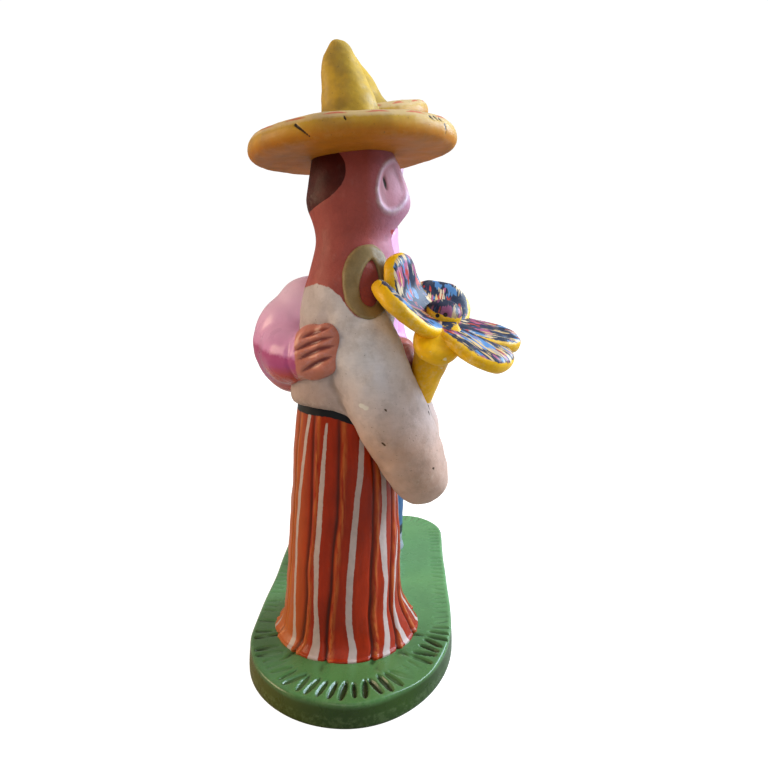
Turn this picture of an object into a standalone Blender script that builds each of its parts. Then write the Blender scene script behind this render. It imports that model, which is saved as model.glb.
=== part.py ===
"""A hand-modelled clay couple under sombreros on one green slab, fired as a single piece.

The slab's long side runs along X and its underside is at Z = 0. The woman stands at -X and the
man at +X, both face -Y, and the man's right arm goes round the woman's back.
"""
import math

import bmesh
import bpy
from mathutils import Matrix, Vector

MM = 0.001

# Slab
BASE_LENGTH = 165.0 * MM
BASE_WIDTH = 82.0 * MM
BASE_THICKNESS = 10.0 * MM
BASE_NEAR_BACK_CURVE = 44.0 * MM
BASE_NEAR_FRONT_CURVE = 55.0 * MM
BASE_FAR_RADIUS = 23.0 * MM
GRASS_PITCH = 6.2 * MM
GRASS_LENGTH = 6.0 * MM
GRASS_DEPTH = 1.1 * MM
EDGE_ROUNDING = 0.8 * MM

# The two figures, measured from the slab's top to the top of the crown
WOMAN_HEIGHT = 224.0 * MM
MAN_HEIGHT = 239.0 * MM
FIGURE_SPACING = 61.0 * MM
STANCE_FORWARD = 0.7 * MM
LUTING_DEPTH = 3.0 * MM

# Skirt
HEM_RADIUS = 29.6 * MM
PLEAT_COUNT = 11
PLEAT_DEPTH = 1.7 * MM

# Hats
WOMAN_BRIM_WIDTH = 75.0 * MM
MAN_BRIM_WIDTH = 63.0 * MM
BRIM_THICKNESS = 4.6 * MM
RIM_HEIGHT = 8.2 * MM

# Flower
FLOWER_SPAN = 55.0 * MM
PETAL_THICKNESS = 7.2 * MM

# The long hand on the woman's side
FINGER_COUNT = 5
FINGER_RADIUS = 2.45 * MM

# The grain at which the pressed pieces are merged, and the triangles left on the figures
SKIN_GRAIN = 0.9 * MM
FACET_BUDGET = 8300

# One share is a millimetre of a figure at its real height.
WOMAN_SHARE = WOMAN_HEIGHT / 224.0
MAN_SHARE = MAN_HEIGHT / 239.0

# Each station of a body: height, how far back its middle is, half width, half depth, in shares.
# The hem is not listed, because it has a radius of its own.
SKIRT_STATIONS = [
    (4.0, 2.9, 26.6, 26.8),
    (9.0, 4.0, 24.4, 25.0),
    (15.0, 4.6, 23.3, 23.7),
    (27.0, 4.5, 22.2, 22.9),
    (44.0, 4.0, 21.2, 22.0),
    (61.0, 4.0, 20.0, 20.6),
    (78.0, 4.3, 18.8, 19.0),
    (91.4, 4.4, 17.8, 17.6),
]
BLOUSE_STATIONS = [
    (91.6, 4.3, 16.9, 16.6),
    (94.6, 4.3, 16.9, 16.6),
    (94.9, 4.8, 18.8, 18.6),
    (97.5, 5.0, 19.4, 19.2),
    (110.0, 4.0, 19.6, 19.0),
    (121.0, 2.6, 20.0, 17.9),
    (129.0, 1.8, 20.3, 17.8),
    (137.0, 0.9, 19.6, 17.4),
    (143.0, -0.1, 18.2, 16.4),
    (148.0, -0.6, 16.3, 15.4),
    (153.0, -0.5, 14.3, 14.3),
    (157.0, -0.6, 13.3, 14.3),
]
WOMAN_HEAD_STATIONS = [
    (161.6, -1.8, 13.9, 16.5),
    (165.8, -2.6, 14.7, 18.8),
    (169.3, -2.5, 15.1, 19.2),
    (173.0, -2.3, 15.1, 18.4),
    (178.0, -1.7, 14.8, 17.0),
    (181.6, -1.3, 14.2, 16.0),
    (185.0, -0.8, 13.5, 14.8),
    (189.5, -0.5, 12.6, 13.4),
]
SHIRT_STATIONS = [
    (56.0, 1.0, 9.0, 9.0),
    (68.0, 1.5, 18.6, 15.4),
    (80.0, 2.0, 19.6, 16.8),
    (86.0, 2.2, 19.2, 16.6),
    (86.4, 2.2, 21.0, 18.4),
    (92.0, 2.3, 21.2, 18.4),
    (108.0, 2.0, 20.8, 17.8),
    (128.0, 0.8, 21.6, 17.3),
    (146.0, 0.0, 22.4, 16.8),
    (154.0, -0.5, 21.0, 16.2),
    (162.0, -1.0, 17.4, 15.0),
    (169.0, -1.2, 14.2, 13.8),
    (174.0, -1.0, 13.2, 13.8),
]
MAN_HEAD_STATIONS = [
    (181.0, -1.8, 14.0, 16.6),
    (187.0, -2.6, 15.0, 18.9),
    (192.0, -2.4, 15.2, 18.8),
    (198.0, -1.7, 14.9, 17.0),
    (203.0, -1.0, 14.2, 15.4),
    (208.0, -0.4, 13.2, 13.8),
]

# A crown: height above the brim's underside, how far its middle leans back, radius, in shares.
CROWN_STATIONS = [
    (7.0, 0.0, 18.0),
    (9.5, -0.1, 14.0),
    (14.5, -0.3, 10.9),
    (20.5, 0.4, 9.6),
    (25.0, 1.0, 8.6),
    (30.0, 1.9, 7.3),
    (34.5, 2.4, 5.7),
    (38.4, 2.6, 3.4),
    (40.0, 3.2, 1.4),
]

PAINTS = {
    "green_paint": ((0.10, 0.27, 0.08), 0.35),
    "orange_paint": ((0.35, 0.06, 0.015), 0.4),
    "white_slip": ((0.40, 0.34, 0.27), 0.75),
    "skin_paint": ((0.42, 0.13, 0.11), 0.4),
    "yellow_paint": ((0.60, 0.40, 0.07), 0.5),
    "pink_paint": ((0.60, 0.22, 0.38), 0.35),
    "blue_paint": ((0.02, 0.07, 0.17), 0.4),
}


def paint(name):
    """A painted-clay material, made once and shared."""
    if name in bpy.data.materials:
        return bpy.data.materials[name]
    colour, roughness = PAINTS[name]
    material = bpy.data.materials.new(name)
    material.use_nodes = True
    shader = material.node_tree.nodes["Principled BSDF"]
    shader.inputs["Base Color"].default_value = (*colour, 1.0)
    shader.inputs["Roughness"].default_value = roughness
    shader.inputs["Metallic"].default_value = 0.0
    return material


def new_object(name, mesh_builder, paint_name):
    """Turn a filled bmesh into a smooth-shaded object with one paint."""
    mesh = bpy.data.meshes.new(name)
    mesh_builder.normal_update()
    mesh_builder.to_mesh(mesh)
    mesh_builder.free()
    mesh.shade_smooth()
    mesh.set_sharp_from_angle(angle=math.radians(40.0))
    mesh.materials.append(paint(paint_name))
    piece = bpy.data.objects.new(name, mesh)
    bpy.context.scene.collection.objects.link(piece)
    return piece


def loft(rings):
    """A closed body through rings of equal point counts, fanned shut at both ends."""
    builder = bmesh.new()
    rows = []
    for ring in rings:
        rows.append([builder.verts.new(point) for point in ring])
    sides = len(rows[0])
    for lower, upper in zip(rows[:-1], rows[1:]):
        for k in range(sides):
            after = (k + 1) % sides
            builder.faces.new((lower[k], lower[after], upper[after], upper[k]))
    for row, turned in ((rows[0], True), (rows[-1], False)):
        middle = sum((vert.co for vert in row), Vector()) / sides
        hub = builder.verts.new(middle)
        for k in range(sides):
            after = (k + 1) % sides
            corners = (row[after], row[k], hub) if turned else (row[k], row[after], hub)
            builder.faces.new(corners)
    bmesh.ops.recalc_face_normals(builder, faces=builder.faces)
    return builder


def smooth_value(before, start, end, after, share):
    """A Catmull-Rom step between start and end."""
    slope_in = 0.5 * (end - before)
    slope_out = 0.5 * (after - start)
    square = share * share
    cube = square * share
    return (
        (2.0 * cube - 3.0 * square + 1.0) * start
        + (cube - 2.0 * square + share) * slope_in
        + (3.0 * square - 2.0 * cube) * end
        + (cube - square) * slope_out
    )


def smooth_path(points, steps):
    """Points on a smooth curve through the given tuples, with steps spans between two of them."""
    path = []
    last = len(points) - 1
    for index in range(last):
        nearby = (index - 1, index, index + 1, index + 2)
        around = [points[min(max(number, 0), last)] for number in nearby]
        for step in range(steps):
            share = step / steps
            path.append(tuple(smooth_value(*values, share) for values in zip(*around)))
    path.append(tuple(points[-1]))
    return path


def body(name, stations, sides, place, carve, paint_name):
    """A standing form through oval stations; carve moves each point in or out along its radius."""
    rings = []
    for height, back, half_width, half_depth in stations:
        ring = []
        for k in range(sides):
            angle = 2.0 * math.pi * k / sides
            offset = carve(angle, height)
            x = (half_width + offset) * math.sin(angle)
            y = back - (half_depth + offset) * math.cos(angle)
            ring.append(place(x, y, height))
        rings.append(ring)
    return new_object(name, loft(rings), paint_name)


def limb(name, points, sides, paint_name, flat=1.0, side_hint=Vector((0.0, 0.0, 1.0)), square=2.0):
    """A rounded limb through (x, y, z, radius) points; flat squeezes it across side_hint."""
    places = [Vector(point[:3]) for point in points]
    radii = [point[3] for point in points]
    tangents = []
    for index in range(len(places)):
        before = places[max(index - 1, 0)]
        after = places[min(index + 1, len(places) - 1)]
        tangents.append((after - before).normalized())
    frames = list(zip(places, tangents, radii))
    for angle in (35.0, 65.0):
        reach = math.sin(math.radians(angle))
        girth = math.cos(math.radians(angle))
        start = (places[0] - tangents[0] * radii[0] * reach, tangents[0], radii[0] * girth)
        end = (places[-1] + tangents[-1] * radii[-1] * reach, tangents[-1], radii[-1] * girth)
        frames = [start] + frames + [end]
    across = tangents[0].cross(side_hint)
    rings = []
    for place, tangent, radius in frames:
        across = (across - tangent * across.dot(tangent)).normalized()
        up = across.cross(tangent)
        ring = []
        for k in range(sides):
            angle = 2.0 * math.pi * k / sides
            run = math.copysign(abs(math.cos(angle)) ** (2.0 / square), math.cos(angle))
            rise = math.copysign(abs(math.sin(angle)) ** (2.0 / square), math.sin(angle))
            ring.append(place + across * radius * run + up * radius * flat * rise)
        rings.append(ring)
    return new_object(name, loft(rings), paint_name)


def ball(name, middle, radii, turn, columns, rows, paint_name):
    """A rounded lump with three half sizes, turned by an Euler rotation in degrees."""
    builder = bmesh.new()
    turned = Matrix.Rotation(math.radians(turn[2]), 4, "Z")
    turned = turned @ Matrix.Rotation(math.radians(turn[1]), 4, "Y")
    turned = turned @ Matrix.Rotation(math.radians(turn[0]), 4, "X")
    stretched = Matrix.Diagonal((*radii, 1.0))
    placed = Matrix.Translation(middle) @ turned @ stretched
    bmesh.ops.create_uvsphere(builder, u_segments=columns, v_segments=rows, radius=1.0, matrix=placed)
    return new_object(name, builder, paint_name)


def base_outline(inset):
    """The slab's outline with an oval near end and a squarer far end, moved in by inset."""
    half_length = BASE_LENGTH / 2.0 - inset
    half_width = BASE_WIDTH / 2.0 - inset
    near_back = BASE_NEAR_BACK_CURVE - inset
    near_front = BASE_NEAR_FRONT_CURVE - inset
    far = min(BASE_FAR_RADIUS, BASE_WIDTH / 2.0) - inset
    # Each quarter: the middle of its curve, its two half sizes and where its quarter turn starts.
    quarters = [
        (half_length - far, half_width - far, far, far, 0.0),
        (near_back - half_length, 0.0, near_back, half_width, 90.0),
        (near_front - half_length, 0.0, near_front, half_width, 180.0),
        (half_length - far, far - half_width, far, far, 270.0),
    ]
    steps = 24
    outline = []
    for centre_x, centre_y, reach_x, reach_y, start in quarters:
        first = 1 if start == 180.0 else 0
        for step in range(first, steps + 1):
            angle = math.radians(start + 90.0 * step / steps)
            x = centre_x + reach_x * math.cos(angle)
            y = centre_y + reach_y * math.sin(angle)
            outline.append(Vector((x, y, 0.0)))
    return outline


def even_points(outline, count):
    """The outline again, as count points at even distances along it."""
    closed = outline + [outline[0]]
    lengths = [(after - before).length for before, after in zip(closed[:-1], closed[1:])]
    total = sum(lengths)
    points = []
    for k in range(count):
        left = total * k / count
        index = 0
        while index < len(lengths) - 1 and left > lengths[index]:
            left -= lengths[index]
            index += 1
        share = left / lengths[index] if lengths[index] > 0.0 else 0.0
        points.append(closed[index].lerp(closed[index + 1], share))
    return points


def slab():
    """The green slab, with a row of dents for grass pressed round its top edge."""
    outline = base_outline(0.0)
    closed = outline + [outline[0]]
    length = sum((after - before).length for before, after in zip(closed[:-1], closed[1:]))
    dents = round(length / GRASS_PITCH)
    rings = []
    for inset, height, dent in (
        (0.0, 0.0, 0.0),
        (0.0, BASE_THICKNESS - EDGE_ROUNDING, 0.0),
        (EDGE_ROUNDING, BASE_THICKNESS, 0.45),
        (EDGE_ROUNDING + 0.5 * GRASS_LENGTH, BASE_THICKNESS, 1.0),
        (EDGE_ROUNDING + GRASS_LENGTH, BASE_THICKNESS, 0.0),
    ):
        ring = even_points(base_outline(inset), 2 * dents)
        for k, point in enumerate(ring):
            sunk = dent * GRASS_DEPTH if k % 2 else 0.0
            point.z = height - sunk
        rings.append(ring)
    return new_object("couple_figurine", loft(rings), "green_paint")


def pleats(angle, height):
    """How far the skirt is pressed in, in shares: deep at the hem, nothing from the belt up."""
    belt = SKIRT_STATIONS[-1][0]
    if height > belt:
        return 0.0
    fade = 1.0 - max(0.0, height) / belt
    wander = 0.35 * math.sin(2.0 * angle + 0.6) + 0.22 * math.sin(5.0 * angle)
    pressed = max(0.0, math.cos(PLEAT_COUNT * angle + wander)) ** 3
    return -PLEAT_DEPTH / WOMAN_SHARE * (0.3 + 0.7 * fade) * pressed


def no_carving(angle, height):
    """A plain painted surface."""
    return 0.0


def face_hollows(brow_height):
    """Two thumb-pressed hollows beside a pinched nose, about brow_height, in shares."""

    def carve(angle, height):
        turn = (angle + math.pi) % (2.0 * math.pi) - math.pi
        across = (abs(turn) - math.radians(42.0)) / math.radians(20.0)
        along = (height - brow_height) / 6.5
        return -2.6 * math.exp(-across * across - along * along)

    return carve


def place_of(share, middle_x):
    """A function from a figure's own shares to a place in the model."""

    def place(x, y, z):
        return Vector((middle_x + x * share, y * share - STANCE_FORWARD, BASE_THICKNESS + z * share))

    return place


def limb_points(place, share, points):
    """Limb points (x, y, z, radius) in shares, brought into the model and smoothed."""
    placed = [(*place(x, y, z), radius * share) for x, y, z, radius in points]
    return smooth_path(placed, 2)


def hat(name, middle, share, brim_width, girth, rise, back_tilt, side_lean):
    """A sombrero: a dished brim with a rolled rim, and a tall crown that leans back."""
    radius = brim_width / 2.0
    profile = [
        (0.35 * radius, 0.0, 0.0),
        (0.80 * radius, -0.4 * MM, 0.0),
        (radius - 0.30 * RIM_HEIGHT, 0.0, 0.0),
        (radius, 0.42 * RIM_HEIGHT, 0.0),
        (radius - 0.10 * RIM_HEIGHT, 0.78 * RIM_HEIGHT, 0.0),
        (radius - 0.38 * RIM_HEIGHT, RIM_HEIGHT, 0.0),
        (radius - 0.85 * RIM_HEIGHT, RIM_HEIGHT - 1.2 * MM, 0.0),
        (0.62 * radius, BRIM_THICKNESS + 0.6 * MM, 0.0),
    ]
    for height, back, crown_radius in CROWN_STATIONS:
        profile.append((crown_radius * girth * share, height * rise * share, back * share))
    leaned = Matrix.Rotation(math.radians(side_lean), 4, "Y")
    tilted = Matrix.Rotation(-math.radians(back_tilt), 4, "X")
    placed = Matrix.Translation(middle) @ leaned @ tilted
    sides = 30
    rings = []
    for ring_radius, height, back in profile:
        ring = []
        for k in range(sides):
            angle = 2.0 * math.pi * k / sides
            point = Vector((ring_radius * math.cos(angle), back + ring_radius * math.sin(angle), height))
            ring.append(placed @ point)
        rings.append(ring)
    return new_object(name, loft(rings), "yellow_paint")


def woman(middle_x):
    """The near figure: pleated skirt, blouse, head with its face pressed by the thumbs, and hat."""
    share = WOMAN_SHARE
    place = place_of(share, middle_x)
    hem = HEM_RADIUS / share
    hem_stations = [
        (-LUTING_DEPTH / share, 3.5, hem - 1.0, hem - 1.0),
        (0.2, 3.5, hem, hem),
        (1.6, 3.4, hem - 0.5, hem - 0.5),
    ]
    skirt_stations = hem_stations + SKIRT_STATIONS + BLOUSE_STATIONS[:4]
    upper_stations = BLOUSE_STATIONS[2:] + WOMAN_HEAD_STATIONS
    skirt_sides = 5 * PLEAT_COUNT
    pieces = [
        body("skirt", skirt_stations, skirt_sides, place, pleats, "orange_paint"),
        body("blouse_and_head", upper_stations, 32, place, face_hollows(172.5), "white_slip"),
    ]
    right_sleeve = [
        (-10.0, 0.6, 132.0, 10.8),
        (-13.6, -4.0, 119.0, 13.2),
        (-15.4, -8.8, 106.0, 14.1),
        (-16.0, -17.2, 87.5, 13.6),
        (-14.8, -23.8, 74.0, 12.0),
        (-12.8, -25.6, 68.2, 11.0),
    ]
    right_forearm = [(-12.0, -25.0, 74.0, 9.0), (-6.0, -24.0, 90.0, 8.0), (-2.5, -20.5, 103.0, 6.8)]
    left_sleeve = [(9.5, -0.5, 132.0, 10.0), (13.0, -5.5, 114.0, 10.6), (12.5, -13.0, 96.0, 9.4)]
    left_forearm = [(12.5, -13.5, 96.5, 9.0), (7.5, -18.0, 99.0, 7.6), (3.0, -20.0, 104.0, 6.4)]
    arms = (
        ("right_sleeve", right_sleeve, 14),
        ("right_forearm", right_forearm, 10),
        ("left_sleeve", left_sleeve, 10),
        ("left_forearm", left_forearm, 10),
    )
    for name, points, sides in arms:
        pieces.append(limb(name, limb_points(place, share, points), sides, "white_slip"))
    fist = (8.0 * share, 5.8 * share, 8.6 * share)
    grip = place(-1.0, -19.6, 108.5)
    pieces.append(ball("hands_on_the_stem", grip, fist, (-20.0, 0.0, 0.0), 12, 8, "skin_paint"))
    pieces += collars(place, share)
    pieces.append(hat("womans_hat", place(0.0, -0.9, 184.0), share, WOMAN_BRIM_WIDTH, 1.0, 1.0, 4.4, 2.0))
    return pieces


def collars(place, share):
    """The raised drop-shaped collar edge on each side of the neck."""
    outline = [
        (-6.0, 152.6),
        (-1.6, 150.4),
        (1.2, 146.6),
        (1.8, 141.0),
        (0.4, 134.6),
        (-3.2, 129.6),
        (-8.0, 127.6),
        (-12.6, 129.0),
        (-14.6, 134.0),
        (-13.2, 141.0),
        (-10.0, 148.0),
    ]
    pieces = []
    for name, side in (("right_collar", -1.0), ("left_collar", 1.0)):
        path = []
        for y, z in outline:
            back, wide, deep = station_at(BLOUSE_STATIONS, z)
            across = (y - back) / deep
            reach = wide * math.sqrt(max(0.05, 1.0 - across * across))
            path.append(place(side * reach, y, z))
        pieces.append(ring_cord(name, path, 1.9 * share, 6, "white_slip"))
    return pieces


def station_at(stations, height):
    """The middle and half sizes between the two stations beside a height."""
    for lower, upper in zip(stations[:-1], stations[1:]):
        if lower[0] <= height <= upper[0]:
            share = (height - lower[0]) / (upper[0] - lower[0])
            return tuple(a + (b - a) * share for a, b in zip(lower[1:], upper[1:]))
    return stations[-1][1:]


def ring_cord(name, path, radius, sides, paint_name):
    """A closed cord of clay laid along a ring of points."""
    count = 2 * len(path)
    smooth = []
    for index in range(len(path)):
        around = [path[(index + step) % len(path)] for step in (-1, 0, 1, 2)]
        for step in (0.0, 0.5):
            smooth.append(Vector([smooth_value(*values, step) for values in zip(*around)]))
    middle = sum(smooth, Vector()) / count
    builder = bmesh.new()
    rows = []
    for index, place in enumerate(smooth):
        tangent = (smooth[(index + 1) % count] - smooth[index - 1]).normalized()
        outward = place - middle
        outward -= tangent * outward.dot(tangent)
        outward.normalize()
        up = tangent.cross(outward)
        row = []
        for k in range(sides):
            angle = 2.0 * math.pi * k / sides
            off_centre = outward * math.cos(angle) + up * math.sin(angle)
            row.append(builder.verts.new(place + off_centre * radius))
        rows.append(row)
    for index in range(count):
        here = rows[index]
        following = rows[(index + 1) % count]
        for k in range(sides):
            after = (k + 1) % sides
            builder.faces.new((here[k], here[after], following[after], following[k]))
    bmesh.ops.recalc_face_normals(builder, faces=builder.faces)
    return new_object(name, builder, paint_name)


def man(middle_x):
    """The far figure: trousers over shoes, shirt, head and hat, and a left arm held to the belt."""
    share = MAN_SHARE
    place = place_of(share, middle_x)
    upper_stations = SHIRT_STATIONS + MAN_HEAD_STATIONS
    pieces = [
        body("shirt_and_head", upper_stations, 28, place, face_hollows(193.5), "pink_paint"),
        hat("mans_hat", place(1.5, 1.0, 204.4), share, MAN_BRIM_WIDTH, 1.12, 0.9, 13.0, -8.0),
    ]
    trouser_stations = [
        (-LUTING_DEPTH / share, -2.0, 9.6, 15.0),
        (4.0, -2.2, 10.6, 17.2),
        (9.0, -2.4, 11.4, 18.4),
        (13.0, -2.2, 10.8, 17.2),
        (30.0, -1.6, 10.6, 16.6),
        (50.0, -0.4, 10.4, 15.6),
        (72.0, 1.5, 9.6, 14.2),
        (80.0, 1.8, 8.0, 12.0),
    ]
    for name, side in (("right_trouser_leg", -1.0), ("left_trouser_leg", 1.0)):
        leg_place = place_of(share, middle_x + side * 10.0 * share)
        pieces.append(body(name, trouser_stations, 16, leg_place, no_carving, "blue_paint"))
        shoe = (8.4 * share, 14.6 * share, 6.4 * share)
        shoe_name = name.replace("trouser_leg", "shoe")
        turn = (0.0, 0.0, side * 4.0)
        pieces.append(ball(shoe_name, place(side * 10.0, -9.0, 0.0), shoe, turn, 14, 8, "blue_paint"))
    left_sleeve = [(12.0, 0.0, 150.0, 11.0), (18.0, -3.0, 133.0, 12.0), (19.5, -10.0, 104.0, 10.6)]
    left_forearm = [(19.0, -10.5, 104.0, 10.0), (11.0, -16.5, 101.0, 8.6), (4.0, -18.5, 104.0, 6.8)]
    pieces.append(limb("mans_left_sleeve", limb_points(place, share, left_sleeve), 12, "pink_paint"))
    pieces.append(limb("mans_left_forearm", limb_points(place, share, left_forearm), 10, "pink_paint"))
    fist = (6.6 * share, 4.6 * share, 7.0 * share)
    belt_front = place(-1.0, -18.6, 105.0)
    pieces.append(ball("mans_left_hand", belt_front, fist, (0.0, -30.0, 0.0), 12, 8, "skin_paint"))
    return pieces


def embracing_arm(man_x, woman_x):
    """The man's right arm behind the woman: a sleeve, its big puff, the cuff and the flat hand."""
    shoulder = place_of(MAN_SHARE, man_x)
    waist = place_of(WOMAN_SHARE, woman_x)
    share = WOMAN_SHARE
    sleeve = [
        (*shoulder(-12.0, 2.0, 148.0), 11.5 * share),
        (*shoulder(-22.0, 10.0, 144.5), 12.0 * share),
        (*waist(20.0, 15.5, 129.0), 11.5 * share),
        (*waist(12.0, 18.5, 120.0), 12.5 * share),
    ]
    cuff = [
        (*waist(4.0, 25.5, 113.0), 11.0 * share),
        (*waist(-5.0, 24.0, 112.0), 10.0 * share),
        (*waist(-12.0, 18.0, 113.5), 8.0 * share),
        (*waist(-15.6, 12.0, 115.0), 5.5 * share),
    ]
    puff = (17.0 * share, 19.0 * share, 22.4 * share)
    pieces = [
        limb("embracing_sleeve", smooth_path(sleeve, 2), 12, "pink_paint"),
        ball("sleeve_puff", waist(12.0, 22.2, 116.6), puff, (0.0, 0.0, 0.0), 20, 14, "pink_paint"),
        limb("cuff_and_wrist", smooth_path(cuff, 2), 10, "pink_paint"),
    ]
    hand_low = 109.4
    hand_high = 122.6
    for k in range(FINGER_COUNT):
        level = k / (FINGER_COUNT - 1)
        height = hand_low + (hand_high - hand_low) * level
        tip = 8.8 - 3.6 * level
        radius = FINGER_RADIUS
        finger = [
            (*waist(-16.2, 17.5, height - 2.6), radius),
            (*waist(-18.4, 0.5 * (17.5 + tip), height), 1.05 * radius),
            (*waist(-19.0, tip, height + 1.6), 0.85 * radius),
        ]
        pieces.append(limb(f"finger_{k + 1}", finger, 8, "skin_paint"))
    return pieces


def flower(woman_x):
    """The big flower held before the woman: a tapering stem, six thick petals and a button."""
    place = place_of(WOMAN_SHARE, woman_x)
    share = WOMAN_SHARE
    heart = place(-12.6, -32.6, 125.0)
    lean_near = math.sin(math.radians(13.0))
    lean_front = math.sin(math.radians(17.0))
    facing = Vector((-lean_near, -lean_front, 1.0)).normalized()
    front = Vector((0.0, -1.0, 0.0))
    front = (front - facing * front.dot(facing)).normalized()
    beside = facing.cross(front).normalized()
    half_span = FLOWER_SPAN / 2.0
    # Each petal: its turn from the front, its length and half width as shares of half the
    # flower's span, and how far its tip is bent up, in degrees.
    petals = [
        ("petal_front_far", 10.0, 1.12, 0.48, -3.0),
        ("petal_front_near", -34.0, 1.08, 0.56, -8.0),
        ("petal_near", -92.0, 0.76, 0.56, -40.0),
        ("petal_back_near", -150.0, 0.98, 0.54, 22.0),
        ("petal_back_far", 172.0, 0.98, 0.56, 64.0),
        ("petal_far", 82.0, 0.80, 0.56, 32.0),
    ]
    stem_path = [
        (*(heart - facing * 3.0 * share), 8.6 * share),
        (*place(-10.0, -28.6, 109.0), 6.2 * share),
        (*place(-6.6, -25.4, 95.0), 3.9 * share),
        (*place(-3.6, -22.6, 88.0), 3.2 * share),
    ]
    pieces = [limb("stem", smooth_path(stem_path, 2), 10, "yellow_paint", side_hint=front)]
    half_thickness = PETAL_THICKNESS / 2.0
    for name, turn, reach, half_width, bend in petals:
        angle = math.radians(turn)
        along = front * math.cos(angle) + beside * math.sin(angle)
        length = reach * half_span
        wide = half_width * half_span
        path = []
        lift = 0.0
        run = 0.0
        steps = 4
        for step in range(steps + 1):
            reached = step / steps
            width = wide * math.sin(math.pi * (0.16 + 0.56 * reached)) ** 0.8
            point = heart + along * run + facing * lift
            path.append((*point, width))
            slope = math.radians(bend) * min(1.0, 1.5 * reached)
            stride = (length - 0.7 * wide) / steps
            run += stride * math.cos(slope)
            lift += stride * math.sin(slope)
        flat = half_thickness / wide
        pieces.append(limb(name, path, 12, "yellow_paint", flat=flat, side_hint=facing, square=2.6))
    button = heart + facing * (half_thickness + 0.6 * share) + beside * 0.8 * share
    radius = 6.6 * share
    lean = (math.degrees(math.asin(-front.z)), 0.0, 0.0)
    pieces.append(ball("button", button, (radius, radius, 0.78 * radius), lean, 14, 8, "yellow_paint"))
    return pieces


def press_together(pieces):
    """One lump from all the pieces: their skins are merged, and the joins are thumbed smooth."""
    builder = bmesh.new()
    for piece in pieces:
        builder.from_mesh(piece.data)
        piece.hide_render = True
        piece.display_type = "WIRE"
    lump = new_object("pressed_clay", builder, "white_slip")
    merged = lump.modifiers.new("merge_skins", "REMESH")
    merged.mode = "VOXEL"
    merged.voxel_size = SKIN_GRAIN
    thinner = lump.modifiers.new("thin_out", "DECIMATE")
    thinner.decimate_type = "COLLAPSE"
    thinner.use_collapse_triangulate = True
    thinner.ratio = 1.0
    evaluated = lump.evaluated_get(bpy.context.evaluated_depsgraph_get())
    mesh = evaluated.to_mesh()
    mesh.calc_loop_triangles()
    thinner.ratio = min(1.0, FACET_BUDGET / len(mesh.loop_triangles))
    evaluated.to_mesh_clear()
    lump.hide_render = True
    lump.display_type = "WIRE"
    return lump


def join_to(base, lump):
    """Unite the pressed figures with the slab that they are luted into."""
    union = base.modifiers.new("lute_to_slab", "BOOLEAN")
    union.operation = "UNION"
    union.solver = "EXACT"
    union.object = lump


def main():
    for leftover in list(bpy.data.objects):
        bpy.data.objects.remove(leftover, do_unlink=True)
    woman_x = -FIGURE_SPACING / 2.0
    man_x = FIGURE_SPACING / 2.0
    figurine = slab()
    pieces = woman(woman_x) + man(man_x) + embracing_arm(man_x, woman_x) + flower(woman_x)
    join_to(figurine, press_together(pieces))


main()
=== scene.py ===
"""A hand-painted clay couple under sombreros on a green slab: the modelled clay and its brushed paint."""
import math

import bmesh
import bpy
import numpy as np
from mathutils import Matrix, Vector, geometry
from mathutils.bvhtree import BVHTree


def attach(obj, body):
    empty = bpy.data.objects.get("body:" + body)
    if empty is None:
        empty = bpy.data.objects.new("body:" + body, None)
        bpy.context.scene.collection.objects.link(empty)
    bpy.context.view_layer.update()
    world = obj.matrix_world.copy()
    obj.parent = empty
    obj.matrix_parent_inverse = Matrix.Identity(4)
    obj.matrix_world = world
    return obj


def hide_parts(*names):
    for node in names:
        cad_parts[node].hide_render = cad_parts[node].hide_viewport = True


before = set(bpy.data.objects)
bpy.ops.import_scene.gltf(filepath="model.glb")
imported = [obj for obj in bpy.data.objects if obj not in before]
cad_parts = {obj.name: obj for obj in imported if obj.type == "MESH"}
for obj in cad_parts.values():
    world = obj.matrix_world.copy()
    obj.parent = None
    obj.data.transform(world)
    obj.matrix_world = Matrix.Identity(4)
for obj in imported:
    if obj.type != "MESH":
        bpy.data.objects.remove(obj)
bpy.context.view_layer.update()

# Everything below is in millimetres until a mesh is made.
MM = 0.001

# Slab
BASE_LENGTH = 165.0
BASE_WIDTH = 82.0
BASE_THICKNESS = 10.0
BASE_NEAR_BACK_CURVE = 44.0
BASE_NEAR_FRONT_CURVE = 55.0
BASE_FAR_RADIUS = 23.0
EDGE_ROUNDING = 1.4
MARK_PITCH = 3.9
MARK_DEPTH = 1.25
MARK_HALF_LENGTH = 2.9
MARK_HALF_WIDTH = 0.72
MARK_SOFT_EDGE = 0.6
# Towards the near end the marks grow, from the first of these places along X to the second
MARKS_GROW_FROM = -22.0
MARKS_GROWN_AT = -52.0
GROOVE_RUN_OUT = 6.5

# Figures
FIGURE_SPACING = 61.0
STANCE_FORWARD = 0.7
WOMAN_AT = np.array([-FIGURE_SPACING / 2.0, -STANCE_FORWARD, BASE_THICKNESS])
MAN_AT = np.array([FIGURE_SPACING / 2.0, -STANCE_FORWARD, BASE_THICKNESS])
WOMAN_BRIM_WIDTH = 75.0
MAN_BRIM_WIDTH = 63.0
BRIM_THICKNESS = 4.6
RIM_HEIGHT = 8.2
HEM_RADIUS = 29.0
HEM_BACK = 3.5
WAIST_HEIGHT = 94.6
WAIST_DIP = 5.4
BELT_WIDTH = 2.9
# How far beside a skirt groove the clay is pushed up
RIDGE_BESIDE = 1.9

# Flower: its middle in the near figure's place, how many degrees its face leans to the near side and
# to the front, and its sizes
FLOWER_MIDDLE = (-12.6, -32.6, 125.0)
FLOWER_LEANS = (13.0, 17.0)
FLOWER_SPAN = 55.0
PETAL_THICKNESS = 7.2
BUTTON_RADII = (6.6, 6.6, 5.4)
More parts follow.
